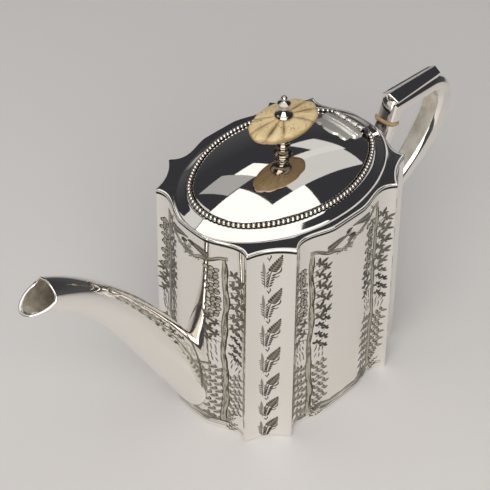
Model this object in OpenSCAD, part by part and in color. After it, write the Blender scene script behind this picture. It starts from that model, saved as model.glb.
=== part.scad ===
/* [Body] */
// Height of the body, from the table to the rim of the shoulder
body_h = 120; // [100:1:144]
// Length of the rim between its end cusps, spout end to handle end
rim_l = 99; // [88:1:119]
// Width of the rim between its side cusps
rim_w = 82.5; // [74:0.5:99]
// Length along the body of each fluted corner
flute_l = 18; // [15:0.5:21]
// Width across the body of each fluted corner
flute_w = 11.8; // [10:0.2:14]
// Depth of the hollow in each fluted corner
flute_depth = 2.2; // [1:0.1:3]
// How far the end panels swell beyond their cusps
end_swell = 5.5; // [4:0.1:7]
// How far the side panels swell beyond their cusps
side_swell = 0.6; // [0.2:0.1:2]
// Depth of the hollow beside each cusp of a panel
cusp_dip = 3.4; // [2:0.1:4]
// Size of the base outline against the rim outline
base_flare = 1.06; // [1.02:0.01:1.1]
// Thickness of the body, shoulder and base sheet
sheet = 1.2; // [0.8:0.1:1.5]

/* [Shoulder] */
// Distance from the end of the rim to the centre line of the bead ring
end_margin = 7.7; // [7:0.1:9]
// Distance from the side of the rim to the centre line of the bead ring
side_margin = 8.85; // [8:0.05:10]
// Height of the shoulder's land above the rim
land_rise = 2.9; // [2:0.1:4]
// Width of the slope between the land and the flat corners
slope_w = 5.4; // [4:0.1:5.6]
// Diameter of one bead of the bead ring
bead_d = 2.2; // [1.8:0.1:2.4]
// Depth of the collar that the lid drops into
collar_depth = 5.5; // [4:0.1:7]

/* [Lid] */
// Rise of the lid from its edge to its middle
lid_rise = 6.8; // [5:0.1:9]
// Thickness of the lid, its bezel and the collar
lid_sheet = 1; // [0.8:0.1:1.2]
// Gap between the bead ring and the edge of the lid
lid_gap = 0.6; // [0.5:0.1:0.9]
// Width of the lid edge that lies over the land
lid_lap = 1.6; // [1.2:0.1:2]
// Gap between the collar and the bezel
bezel_gap = 0.6; // [0.5:0.1:0.9]
// Depth of the bezel below the land
bezel_depth = 4.4; // [3:0.1:5]

/* [Hinge] */
// Length of the hinge barrel
hinge_l = 18; // [15:1:21]
// Diameter of the hinge barrel
barrel_d = 3.2; // [2.8:0.1:3.4]
// Diameter of the hinge pin
hinge_pin_d = 1.2; // [1:0.1:1.5]
// Distance from the bead ring's end to the hinge pin
hinge_inset = 4.7; // [4.4:0.1:5.5]
// Thickness of the two hinge leaves
leaf_t = 1.1; // [0.9:0.1:1.2]
// Length of the leaf that lies on the lid
lid_leaf_l = 12; // [9:0.5:14]
// Width of the leaf that lies on the lid
lid_leaf_w = 22; // [20:0.5:24]

/* [Knob] */
// Length of the knob, along the body
knob_l = 37; // [30:0.5:42]
// Width of the knob
knob_w = 23.5; // [20:0.5:28]
// Thickness of the knob at its middle
knob_t = 9; // [7:0.5:11]
// Height of the stem that carries the knob
stem_h = 12; // [10:0.5:15]
// Height of the finial that holds the knob down
finial_h = 10.5; // [9:0.5:13]
// Diameter of the threaded stud
stud_d = 3; // [2.5:0.1:3.2]

/* [Spout] */
// Half the depth of the spout at its root, in the plane of its curve
spout_root_r = 12.5; // [11:0.5:14]
// Width of the spout at its root, across the body
spout_root_w = 20.8; // [18:0.2:24]
// Outer radius of the spout near its mouth
spout_mouth_r = 7.4; // [6.5:0.1:9]
// Thickness of the spout sheet
spout_sheet = 1.2; // [1:0.1:1.5]
// Reach of the spout's centre line beyond the end of the rim
spout_reach = 86; // [72:1:100]
// Height of the mouth's centre line above the rim
mouth_rise = 16.2; // [12:0.2:20]
// Height of the spout's centre line at its root
spout_root_h = 20; // [16:0.5:24]
// Diameter of each strainer hole behind the spout
strainer_d = 2.6; // [2:0.1:3]

/* [Handle] */
// Width of the handle, across the body
grip_w = 10.5; // [9:0.1:12.5]
// Depth of the handle
grip_t = 8; // [7:0.1:9.6]
// Extra width and depth of the handle in the middle of its grip
grip_swell = 2.2; // [0:0.1:3]
// Width of the flats cut along the handle's edges
grip_flat = 2; // [1.5:0.1:2.4]
// Thickness of the handle sheet
grip_sheet = 1.2; // [1:0.1:1.4]
// Reach of the handle beyond the end of the rim
grip_reach = 53; // [46:1:62]
// Thickness of each insulator between socket and handle
insulator_t = 1.6; // [1.2:0.1:2.5]
// Length of each insulator tenon
tenon_l = 5; // [4:0.5:6]
// Diameter of the pins through the tenons
tenon_pin_d = 1.5; // [1.2:0.1:1.8]
// Length of the thumb rest on top of the handle
thumb_l = 33.5; // [28:0.5:40]
// Height of the ridge of the thumb rest
thumb_h = 4.2; // [3:0.1:5]

/* [Hidden] */
$fn = 64;

silver = "silver";
ivory = "wheat";
brass = "goldenrod";

// fits
solder = 0.02;       // gap of a soldered seam
thread_fit = 0.05;   // radial play of a screwed or pinned piece
running_fit = 0.05;  // radial play of the hinge pin
end_play = 0.1;      // play between two hinge knuckles
end_gap = 1;         // space between the hinge and either end of the bead ring
lid_rest_gap = 0.3;  // height of the lid edge above the land
past = 1;            // how far a cut runs past the face it opens

// ---- the fluted outline ----
panel_steps = 20;    // straight lines in one wide panel
flute_steps = 6;     // straight lines in one fluted corner
dip_start = 0.25;    // share of the half panel where the hollow begins
// the hollow's curve s * s * (1 - s) peaks at 4/27
dip_peak = 4 / 27;

function swell(u, crest) =
    let (s = max(0, (abs(u) - dip_start) / (1 - dip_start)))
    crest * (1 - u * u) - cusp_dip * s * s * (1 - s) / dip_peak;

// points from p towards q, pushed out to the left of the line by profile(u)
function wide_panel(p, q, crest) =
    let (mid = (p + q) / 2, half = (q - p) / 2,
         out = [half.y, -half.x] / norm(half))
    [for (i = [0:panel_steps - 1])
        let (u = 2 * i / panel_steps - 1) mid + u * half + swell(u, crest) * out];

function flute(p, q) =
    let (mid = (p + q) / 2, half = (q - p) / 2,
         out = [half.y, -half.x] / norm(half))
    [for (i = [0:flute_steps - 1])
        let (u = 2 * i / flute_steps - 1) mid + u * half - flute_depth * (1 - u * u) * out];

end_x = rim_l / 2;
end_y = rim_w / 2 - flute_w;
side_x = rim_l / 2 - flute_l;
side_y = rim_w / 2;

outline = concat(
    wide_panel([end_x, -end_y], [end_x, end_y], end_swell),
    flute([end_x, end_y], [side_x, side_y]),
    wide_panel([side_x, side_y], [-side_x, side_y], side_swell),
    flute([-side_x, side_y], [-end_x, end_y]),
    wide_panel([-end_x, end_y], [-end_x, -end_y], end_swell),
    flute([-end_x, -end_y], [-side_x, -side_y]),
    wide_panel([-side_x, -side_y], [side_x, -side_y], side_swell),
    flute([side_x, -side_y], [end_x, -end_y]));

function inset(points, d) = [for (p = points) p * (1 - d / norm(p))];

wall_h = body_h - sheet;             // the shoulder closes the last sheet thickness
rim_end = end_x + end_swell;         // x of the rim at the ends

// body outline at height z is this many times the rim outline
function flare_at(z) = base_flare + (1 - base_flare) * z / wall_h;

// the solid inside the outer face of the body, shrunk by d
module body_block(d, z0, z1) {
    translate([0, 0, z0])
        linear_extrude(z1 - z0, scale = flare_at(z1) / flare_at(z0))
            polygon(inset(outline, d) * flare_at(z0));
}

// ---- the four-arc oval of the bead ring and everything parallel to it ----
ring_a = rim_end - end_margin;
ring_b = side_y + side_swell - side_margin;
ring_r1 = 1.1 * ring_b * ring_b / ring_a;       // radius of the end arcs
ring_c1 = ring_a - ring_r1;                     // centre of the end arcs, along x
ring_r2 = (ring_c1 * ring_c1 + ring_b * ring_b - ring_r1 * ring_r1) / (2 * (ring_b - ring_r1));
ring_c2 = ring_r2 - ring_b;                     // centre of the side arcs, along y
ring_turn = atan2(ring_c2, ring_c1);            // normal angle where the arcs meet
oval_steps = 72;

// the point of the oval moved out by d, whose outward normal has angle a
function oval_point(a, d) =
    let (c = cos(a), s = sin(a), ends = abs(s) <= sin(ring_turn))
    ends ? [sign(c) * ring_c1 + (ring_r1 + d) * c, (ring_r1 + d) * s]
         : [(ring_r2 + d) * c, -sign(s) * ring_c2 + (ring_r2 + d) * s];
function oval(d) = [for (i = [0:oval_steps - 1]) oval_point(360 * i / oval_steps, d)];

module oval_block(d, z0, z1) {
    translate([0, 0, z0]) linear_extrude(z1 - z0) polygon(oval(d));
}

// everything on the spout side of a plane at x
big = 400;
module before_x(x) {
    translate([x - big, -big / 2, -big / 2]) cube(big);
}

// ---- heights and offsets of the top ----
land_z = body_h + land_rise;
bead_r = bead_d / 2;
bead_z = land_z + bead_r;
lid_edge_off = -(bead_r + lid_gap);
opening_off = lid_edge_off - lid_lap;
bezel_off = opening_off - bezel_gap;

hinge_x = ring_a - hinge_inset;
hinge_z = land_z + leaf_t + barrel_d / 2 + lid_rest_gap;
lid_end_x = hinge_x - barrel_d / 2 - 1;          // straight end of the lid at the hinge
opening_end_x = lid_end_x - 0.8;                 // straight end of the opening
bezel_end_x = opening_end_x - bezel_gap;

// the lid is part of a dome; its radius comes from its chord and rise
lid_a = ring_a + lid_edge_off;
lid_squash = (ring_b + lid_edge_off) / lid_a;
lid_r = (lid_a * lid_a + lid_rise * lid_rise) / (2 * lid_rise);
lid_edge_z = land_z + lid_rest_gap + lid_sheet;
lid_top_z = lid_edge_z + lid_rise;

// solid under the lid's outer face, raised by d
module dome(d) {
    scale([1, lid_squash, 1]) translate([0, 0, lid_top_z - lid_r]) sphere(lid_r + d, $fn = 180);
}

// ---- swept tubes in the plane of the spout and handle ----
function unit(v) = v / norm(v);
function bezier(p, t) =
    pow(1 - t, 3) * p[0] + 3 * pow(1 - t, 2) * t * p[1] + 3 * (1 - t) * t * t * p[2] + t * t * t * p[3];

// direction across the path at point i, lengthened at a corner so that the tube keeps its width
function across(path, i) =
    let (n = len(path),
         a = i == 0 ? unit(path[1] - path[0]) : unit(path[i] - path[i - 1]),
         b = i == n - 1 ? a : unit(path[i + 1] - path[i]),
         s = a + b)
    [-s.y, s.x] * 2 / (s * s);

function lengthened(path, e) =
    let (n = len(path))
    concat([path[0] - e * unit(path[1] - path[0])], [for (i = [1:n - 2]) path[i]],
           [path[n - 1] + e * unit(path[n - 1] - path[n - 2])]);

// closes n rings of m points each into a solid with two flat ends
module skin(points, n, m) {
    sides = [for (i = [0:n - 2]) for (j = [0:m - 1]) let (k = (j + 1) % m)
        [i * m + j, i * m + k, (i + 1) * m + k, (i + 1) * m + j]];
    polyhedron(points, concat(
        [[for (j = [m - 1:-1:0]) j]], sides, [[for (j = [0:m - 1]) (n - 1) * m + j]]));
}

// sections[i] is the outline at path[i], as [depth, width] pairs
module sweep(path, sections) {
    n = len(path);
    skin([for (i = [0:n - 1]) let (c = across(path, i)) for (s = sections[i])
        [path[i].x + s.x * c.x, s.y, path[i].y + s.x * c.y]], n, len(sections[0]));
}

// a frame whose z axis runs along heading, at point p of the middle plane
module along(p, heading) {
    translate([p.x, 0, p.y]) rotate([0, atan2(heading.x, heading.y), 0]) children();
}

// ---- spout ----
spout_steps = 26;
spout_sides = 20;
spout_root_angle = 62;                           // of the centre line, above level
spout_mouth_angle = 20;
spout_root_pull = 76;                            // lengths of the curve's two handles
spout_mouth_pull = 40;
spout_line = let (p0 = [-(rim_end - 3), spout_root_h],
                  p3 = [-(rim_end + spout_reach), body_h + mouth_rise])
    [p0, p0 + spout_root_pull * [-cos(spout_root_angle), sin(spout_root_angle)],
     p3 + spout_mouth_pull * [cos(spout_mouth_angle), -sin(spout_mouth_angle)], p3];
swell_end = 0.8;                                 // share of the length that tapers
// below the root the centre line turns inward, which rounds the spout's heel into the body
heel_r = 2.4 * spout_root_r;
heel_turn = 18;
heel_steps = 4;
heel_centre = spout_line[0] + heel_r * [sin(spout_root_angle), cos(spout_root_angle)];
spout_path = concat(
    [for (i = [0:heel_steps - 1])
        let (a = spout_root_angle - heel_turn * (1 - i / heel_steps))
        heel_centre - heel_r * [sin(a), cos(a)]],
    [for (i = [0:spout_steps]) bezier(spout_line, i / spout_steps)]);

// half the depth and half the width of the spout at share t of its length
function spout_half(t) =
    let (s = min(1, t / swell_end), root = [spout_root_r, spout_root_w / 2])
    root + ([spout_mouth_r, spout_mouth_r] - root) * s * s * (3 - 2 * s);
function oblong(h) =
    [for (j = [0:spout_sides - 1]) let (a = 360 * j / spout_sides) [h.x * cos(a), h.y * sin(a)]];
function spout_sections(d) =
    [for (i = [-heel_steps:spout_steps]) oblong(spout_half(max(0, i) / spout_steps) - [d, d])];

// cut that opens the mouth: upright above, then a short turn and a slope that leaves a beak
beak_slope = 17;
mouth_turn_r = 0.4 * spout_mouth_r;
mouth_turn_at = spout_line[3] + [1.18 * spout_mouth_r, -0.13 * spout_mouth_r];
mouth_cut = concat(
    [for (i = [0:6]) let (a = (beak_slope - 90) * i / 6) mouth_turn_at + mouth_turn_r * [cos(a), sin(a)]],
    [mouth_turn_at + mouth_turn_r * [sin(beak_slope), -cos(beak_slope)]
     - 5 * spout_mouth_r * [cos(beak_slope), sin(beak_slope)],
     mouth_turn_at + 5 * spout_mouth_r * [-1, 1],
     mouth_turn_at + [mouth_turn_r, 5 * spout_mouth_r]]);
// where the centre line enters the body
strainer_z = spout_root_h + 3 * tan(spout_root_angle) + 4;
strainer_rings = 2;
strainer_margin = 0.4;                           // between the outer holes and the inside of the spout
strainer_pitch = (spout_root_w / 2 - spout_sheet - strainer_margin - strainer_d / 2) / strainer_rings;

// ---- handle ----
upper_lean = 18;                                 // of the upper joint, from upright
lower_slope = 40;                                // of the lower joint, below level
upper_joint = [rim_end + 15.2, body_h - 7.4];
lower_joint = [rim_end + 14, body_h / 2];
upper_dir = [sin(upper_lean), cos(upper_lean)];
lower_dir = [cos(lower_slope), sin(lower_slope)];
grip_top_z = body_h;                             // centre line of the level top
grip_back_x = rim_end + grip_reach;

straight_l = tenon_l + 1;                        // straight stretch that takes a tenon
handle_start = upper_joint + insulator_t / 2 * upper_dir;
handle_end = lower_joint + insulator_t / 2 * lower_dir;
handle_corner = [handle_start.x + (grip_top_z - handle_start.y) * tan(upper_lean), grip_top_z];
corner_r = 10.5;                                 // size of the rounded back corner
corner_steps = 8;
grip_steps = 16;
handle_path = concat(
    [handle_start, handle_corner],
    [for (i = [0:corner_steps]) bezier(
        [[grip_back_x - corner_r, grip_top_z], [grip_back_x - 0.4 * corner_r, grip_top_z],
         [grip_back_x, grip_top_z - 0.4 * corner_r], [grip_back_x, grip_top_z - corner_r]],
        i / corner_steps)],
    [for (i = [1:grip_steps]) bezier(
        [[grip_back_x, grip_top_z - corner_r], [grip_back_x - 0.6, grip_top_z - 2.7 * corner_r],
         handle_end + 27 * lower_dir, handle_end + straight_l * lower_dir],
        i / grip_steps)],
    [handle_end]);
// extra size at each point of the path: it grows from the back corner and is gone at the lower joint
grip_growth = concat([0, 0],
    [for (i = [0:corner_steps + grip_steps])
        grip_swell * pow(sin(180 * i / (corner_steps + grip_steps)), 2)],
    [0]);

// flattened rectangle, w across the body and t deep
function bar_outline(t, w, f) =
    [[-t / 2 + f, -w / 2], [t / 2 - f, -w / 2], [t / 2, -w / 2 + f], [t / 2, w / 2 - f],
     [t / 2 - f, w / 2], [-t / 2 + f, w / 2], [-t / 2, w / 2 - f], [-t / 2, -w / 2 + f]];
function grip_section(extra) = bar_outline(grip_t + extra, grip_w + extra, grip_flat);
// the hollow keeps the same sheet thickness on the flats too
hollow_flat = grip_flat - grip_sheet * (2 - sqrt(2));
function hollow_section(extra) =
    bar_outline(grip_t + extra - 2 * grip_sheet, grip_w + extra - 2 * grip_sheet, hollow_flat);
grip_outline = grip_section(0);
grip_hollow = hollow_section(0);
insulator_proud = 0.5;
tenon_outline = bar_outline(grip_t - 2 * grip_sheet - 2 * thread_fit,
                            grip_w - 2 * grip_sheet - 2 * thread_fit, hollow_flat);
pin_step = insulator_t / 2 + tenon_l / 2;        // from a joint's middle to its pins

function all_of(path, outline) = [for (p = path) outline];

socket_steps = 10;
socket_root = [rim_end - 4, body_h - 37];
upper_socket_end = upper_joint - insulator_t / 2 * upper_dir;
upper_socket_path = concat(
    [for (i = [0:socket_steps]) bezier(
        [socket_root, socket_root + [8, 6], upper_socket_end - 2 * straight_l * upper_dir,
         upper_socket_end - straight_l * upper_dir],
        i / socket_steps)],
    [upper_socket_end]);
lower_socket_end = lower_joint - insulator_t / 2 * lower_dir;
lower_socket_path = [lower_socket_end - 22 * lower_dir, lower_socket_end];

thumb_front_w = grip_w;
thumb_back_w = grip_w - 3;
thumb_edge_h = thumb_h - 1.9;

// ---- knob ----
stud_r = stud_d / 2;
knob_z = lid_top_z + stem_h;                     // underside of the knob on its seat
knob_seat = 0.25;                                // flat ground on the knob, top and bottom
knob_mid_z = knob_z + knob_t / 2 - knob_seat;
finial_z = knob_z + knob_t - 2 * knob_seat;
finial_bore = 0.3 * finial_h;
nut_t = 2.4;
nut_flats = stud_d + 2.5;
washer_t = 0.8;
washer_r = nut_flats * 0.8;
// the dome falls this far from its middle to the washer's edge
washer_drop = lid_rise * pow(washer_r / (lid_a * lid_squash), 2);
washer_z = lid_top_z - lid_sheet - washer_t - washer_drop;
stud_end_z = washer_z - nut_t - 0.6;

// pins through a joint: side +1 is the handle's, -1 the socket's
module joint_pin(joint, dir, side, r, l) {
    p = joint + side * pin_step * dir;
    translate([p.x, 0, p.y]) rotate([90, 0, 0]) cylinder(r = r, h = l, center = true);
}

module body_wall() {
    color(silver) difference() {
        body_block(0, 0, wall_h);
        body_block(sheet, -past, wall_h + past);
        strainer_holes();
    }
}

module strainer_holes() {
    for (q = [-strainer_rings:strainer_rings])
        for (s = [max(-strainer_rings, -q - strainer_rings):min(strainer_rings, -q + strainer_rings)])
            translate([-rim_end * base_flare - past, (q + s / 2) * strainer_pitch,
                       strainer_z + s * strainer_pitch * sin(60)])
                rotate([0, 90, 0]) cylinder(d = strainer_d, h = 6 * sheet + end_swell);
}

module base_plate() {
    color(silver) linear_extrude(sheet)
        polygon(inset(outline, sheet + solder) * flare_at(sheet));
}

module shoulder() {
    k = ring_b / ring_a;
    land_r = ring_a + bead_r + 0.5;
    foot_r = land_r + slope_w;
    out_r = 2 * rim_end;
    color(silver) difference() {
        intersection() {
            scale([1, k, 1]) rotate_extrude($fn = 144) polygon([
                [0, land_z], [land_r, land_z], [foot_r, body_h], [out_r, body_h],
                [out_r, body_h - sheet], [foot_r - sheet / 2, body_h - sheet],
                [land_r - sheet / 2, land_z - sheet], [0, land_z - sheet]]);
            translate([0, 0, body_h - sheet]) linear_extrude(land_rise + sheet + past) polygon(outline);
        }
        intersection() {
            oval_block(opening_off, body_h - past, land_z + past);
            before_x(opening_end_x);
        }
    }
}

module lid_collar() {
    top = land_z - sheet - solder;
    color(silver) difference() {
        intersection() {
            oval_block(opening_off + lid_sheet, top - collar_depth, top);
            before_x(opening_end_x + lid_sheet);
        }
        intersection() {
            oval_block(opening_off, top - collar_depth - past, top + past);
            before_x(opening_end_x);
        }
    }
}

module bead_ring() {
    gap_turn = asin((hinge_l / 2 + end_gap) / ring_r1);
    sides = 10;
    color(silver) skin([for (i = [0:oval_steps]) for (j = [0:sides - 1])
        let (a = gap_turn + (360 - 2 * gap_turn) * i / oval_steps, b = 360 * j / sides)
        [each oval_point(a, -bead_r * cos(b)), bead_z + bead_r * sin(b)]], oval_steps + 1, sides);
}

module spout() {
    color(silver) difference() {
        sweep(spout_path, spout_sections(0));
        sweep(lengthened(spout_path, past), spout_sections(spout_sheet));
        body_block(-solder, -past, wall_h);
        rotate([90, 0, 0]) linear_extrude(4 * spout_mouth_r, center = true) polygon(mouth_cut);
    }
}

module upper_socket() {
    color(silver) difference() {
        sweep(upper_socket_path, all_of(upper_socket_path, grip_outline));
        body_block(-solder, -past, wall_h);
        along(upper_socket_end, -upper_dir) translate([0, 0, -past])
            linear_extrude(tenon_l + thread_fit + past) polygon(grip_hollow);
        joint_pin(upper_joint, upper_dir, -1, tenon_pin_d / 2 + thread_fit, grip_w + past);
    }
}

module lower_socket() {
    color(silver) difference() {
        sweep(lower_socket_path, all_of(lower_socket_path, grip_outline));
        body_block(-solder, -past, wall_h);
        along(lower_socket_end, -lower_dir) translate([0, 0, -past])
            linear_extrude(tenon_l + thread_fit + past) polygon(grip_hollow);
        joint_pin(lower_joint, lower_dir, -1, tenon_pin_d / 2 + thread_fit, grip_w + past);
    }
}

// a plate between socket and handle, with a tenon into each
module insulator(joint, dir) {
    color(ivory) difference() {
        along(joint, dir) union() {
            translate([0, 0, -insulator_t / 2 + solder]) linear_extrude(insulator_t - 2 * solder)
                polygon(bar_outline(grip_t + 2 * insulator_proud, grip_w + 2 * insulator_proud,
                                    grip_flat));
            translate([0, 0, -insulator_t / 2 - tenon_l]) linear_extrude(insulator_t + 2 * tenon_l)
                polygon(tenon_outline);
        }
        for (side = [-1, 1])
            joint_pin(joint, dir, side, tenon_pin_d / 2 + thread_fit, grip_w + past);
    }
}

module upper_insulator() {
    insulator(upper_joint, upper_dir);
}

module lower_insulator() {
    insulator(lower_joint, lower_dir);
}

module handle() {
    color(silver) difference() {
        sweep(handle_path, [for (extra = grip_growth) grip_section(extra)]);
        sweep(lengthened(handle_path, past), [for (extra = grip_growth) hollow_section(extra)]);
        joint_pin(upper_joint, upper_dir, 1, tenon_pin_d / 2 + thread_fit, grip_w + past);
        joint_pin(lower_joint, lower_dir, 1, tenon_pin_d / 2 + thread_fit, grip_w + past);
    }
}

module thumb_rest() {
    x0 = handle_corner.x - grip_t / 2 + grip_flat / 2;
    color(silver) translate([x0, 0, grip_top_z + grip_t / 2 + solder]) intersection() {
        linear_extrude(thumb_h) polygon([
            [1.5, -thumb_front_w / 2], [thumb_l, -thumb_back_w / 2], [thumb_l, thumb_back_w / 2],
            [1.5, thumb_front_w / 2], [0, 0]]);
        rotate([90, 0, 90]) linear_extrude(thumb_l) polygon([
            [-thumb_front_w / 2, 0], [thumb_front_w / 2, 0], [thumb_front_w / 2, thumb_edge_h],
            [0, thumb_h], [-thumb_front_w / 2, thumb_edge_h]]);
    }
}

module tenon_pins() {
    color(silver) for (side = [-1, 1]) {
        joint_pin(upper_joint, upper_dir, side, tenon_pin_d / 2, grip_w);
        joint_pin(lower_joint, lower_dir, side, tenon_pin_d / 2, grip_w);
    }
}

knuckles = 5;
knuckle_l = hinge_l / knuckles;
// knuckle i of the barrel, with play at both ends
module knuckle(i) {
    translate([hinge_x, -hinge_l / 2 + i * knuckle_l + end_play / 2, hinge_z])
        rotate([-90, 0, 0]) cylinder(d = barrel_d, h = knuckle_l - end_play);
}

// the block beside knuckle i, from x0 to x1 and z0 to z1
module knuckle_web(i, x0, x1, z0, z1) {
    translate([x0, -hinge_l / 2 + i * knuckle_l + end_play / 2, z0])
        cube([x1 - x0, knuckle_l - end_play, z1 - z0]);
}

module pin_bore() {
    translate([hinge_x, 0, hinge_z]) rotate([90, 0, 0])
        cylinder(r = hinge_pin_d / 2 + running_fit, h = hinge_l + 2 * past, center = true);
}

module hinge_body_leaf() {
    color(silver) difference() {
        union() {
            intersection() {
                oval_block(bead_r, land_z + solder, land_z + leaf_t);
                translate([hinge_x - barrel_d / 2, -hinge_l / 2, land_z]) cube([big, hinge_l, leaf_t + past]);
            }
            for (i = [0:2:knuckles - 1]) {
                knuckle(i);
                knuckle_web(i, hinge_x, hinge_x + barrel_d / 2, land_z + leaf_t / 2, hinge_z);
            }
        }
        pin_bore();
    }
}

module hinge_pin() {
    color(silver) translate([hinge_x, 0, hinge_z]) rotate([90, 0, 0])
        cylinder(d = hinge_pin_d, h = hinge_l - end_play, center = true);
}

module hinge_lid_leaf() {
    lift = solder;
    color(silver) difference() {
        union() {
            intersection() {
                dome(leaf_t);
                translate([lid_end_x - lid_leaf_l, -lid_leaf_w / 2, land_z])
                    cube([lid_leaf_l, lid_leaf_w, 2 * lid_rise]);
            }
            for (i = [1:2:knuckles - 2]) {
                knuckle(i);
                knuckle_web(i, lid_end_x - lid_sheet, hinge_x,
                            hinge_z - barrel_d / 4, hinge_z + barrel_d / 3);
            }
        }
        intersection() {
            dome(lift);
            before_x(lid_end_x + lift);
        }
        pin_bore();
    }
}

module lid() {
    color(silver) difference() {
        intersection() {
            dome(0);
            oval_block(lid_edge_off, land_z, lid_top_z + past);
            before_x(lid_end_x);
        }
        dome(-lid_sheet);
        translate([0, 0, land_z]) cylinder(r = stud_r + thread_fit, h = 2 * lid_rise);
    }
}

module lid_bezel() {
    color(silver) difference() {
        intersection() {
            dome(-lid_sheet - solder);
            oval_block(bezel_off, land_z - bezel_depth, lid_top_z);
            before_x(bezel_end_x);
        }
        intersection() {
            oval_block(bezel_off - lid_sheet, land_z - bezel_depth - past, lid_top_z);
            before_x(bezel_end_x - lid_sheet);
        }
    }
}

// turned piece on the knob's axis with a bore for the stud
module turned(z, profile, bore_h) {
    translate([0, 0, z]) difference() {
        rotate_extrude() polygon(profile);
        translate([0, 0, -past]) cylinder(r = stud_r + thread_fit, h = bore_h + past);
    }
}

module knob_stem() {
    h = stem_h;
    r = stud_r;
    color(silver) turned(lid_top_z + solder, [
        [0, 0], [r + 2.6, 0], [r + 2.6, 0.9], [r + 1.5, 1.6], [r + 1.2, 0.24 * h], [r + 1.8, 0.34 * h],
        [r + 1.8, 0.42 * h], [r + 1, 0.52 * h], [r + 1.1, 0.62 * h], [r + 1.9, 0.76 * h],
        [r + 3.7, 0.9 * h], [r + 4.4, 0.97 * h], [r + 4.4, h - solder], [0, h - solder]], h + past);
}

module knob() {
    color(ivory) difference() {
        intersection() {
            translate([0, 0, knob_mid_z]) scale([knob_l / knob_t, knob_w / knob_t, 1])
                sphere(knob_t / 2, $fn = 96);
            translate([-big / 2, -big / 2, knob_z + solder])
                cube([big, big, knob_t - 2 * knob_seat - 2 * solder]);
        }
        translate([0, 0, knob_z - past]) cylinder(r = stud_r + thread_fit, h = knob_t + 2 * past);
    }
}

module knob_finial() {
    h = finial_h;
    r = stud_r;
    color(silver) turned(finial_z + solder, [
        [0, 0], [r + 2.4, 0], [r + 2.4, 0.08 * h], [r + 1.9, 0.15 * h], [r + 1.4, 0.24 * h],
        [r + 1.2, 0.32 * h], [r + 0.4, 0.38 * h], [1.7, 0.44 * h], [1.7, 0.5 * h], [2.7, 0.56 * h],
        [2.7, 0.65 * h], [1.6, 0.72 * h], [1, 0.76 * h], [1.5, 0.84 * h], [1.4, 0.93 * h],
        [0.8, 0.99 * h], [0, h]], finial_bore);
}

module knob_stud() {
    top = finial_z + finial_bore - 0.2;
    color(brass) translate([0, 0, stud_end_z]) cylinder(r = stud_r, h = top - stud_end_z);
}

module knob_washer() {
    color(brass) translate([0, 0, washer_z + solder]) difference() {
        cylinder(r = washer_r, h = washer_t - 3 * solder);
        translate([0, 0, -past]) cylinder(r = stud_r + thread_fit, h = washer_t + 2 * past);
    }
}

module knob_nut() {
    color(brass) translate([0, 0, washer_z - nut_t]) difference() {
        cylinder(d = nut_flats / cos(30), h = nut_t, $fn = 6);
        translate([0, 0, -past]) cylinder(r = stud_r + thread_fit, h = nut_t + 2 * past);
    }
}

body_wall();
base_plate();
shoulder();
lid_collar();
bead_ring();
spout();
upper_socket();
lower_socket();
upper_insulator();
lower_insulator();
handle();
thumb_rest();
tenon_pins();
hinge_body_leaf();
hinge_pin();
hinge_lid_leaf();
lid();
lid_bezel();
knob_stem();
knob();
knob_finial();
knob_stud();
knob_washer();
knob_nut();
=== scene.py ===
import math
import random

import bmesh
import bpy
import numpy as np
from mathutils import Matrix, Vector


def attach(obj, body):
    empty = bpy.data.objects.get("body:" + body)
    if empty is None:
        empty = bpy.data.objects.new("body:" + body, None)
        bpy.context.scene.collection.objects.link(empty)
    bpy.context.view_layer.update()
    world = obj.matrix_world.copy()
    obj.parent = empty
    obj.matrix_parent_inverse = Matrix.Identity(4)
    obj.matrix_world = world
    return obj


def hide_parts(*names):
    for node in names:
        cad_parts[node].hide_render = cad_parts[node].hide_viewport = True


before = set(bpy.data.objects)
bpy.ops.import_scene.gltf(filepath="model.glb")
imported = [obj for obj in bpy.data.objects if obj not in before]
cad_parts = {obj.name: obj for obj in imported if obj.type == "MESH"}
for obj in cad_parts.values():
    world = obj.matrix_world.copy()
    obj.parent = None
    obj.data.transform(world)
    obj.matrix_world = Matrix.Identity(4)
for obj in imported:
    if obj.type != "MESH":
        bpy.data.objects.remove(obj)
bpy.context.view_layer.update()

# ---------------------------------------------------------------- sizes, in mm
MM = 0.001

# body
BODY_H = 120.0
SHEET = 1.2
WALL_H = BODY_H - SHEET
END_X, END_Y = 49.5, 29.45          # end cusps of the rim
SIDE_X, SIDE_Y = 31.5, 41.25        # side cusps of the rim
END_SWELL, SIDE_SWELL = 5.5, 0.6
CUSP_DIP, DIP_START = 3.4, 0.25
FLUTE_DEPTH = 2.2
BASE_FLARE = 1.06
RIM_END = END_X + END_SWELL
CUSP_ROUND = 0.55                   # distance from a cusp where its rounding begins

# oval of the bead ring: two end arcs and two side arcs
RING_A = RIM_END - 7.7
RING_B = SIDE_Y + SIDE_SWELL - 8.85
RING_R1 = 1.1 * RING_B ** 2 / RING_A
RING_C1 = RING_A - RING_R1
RING_R2 = (RING_C1 ** 2 + RING_B ** 2 - RING_R1 ** 2) / (2 * (RING_B - RING_R1))
RING_C2 = RING_R2 - RING_B
OVAL_SQUASH = RING_B / RING_A

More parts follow.
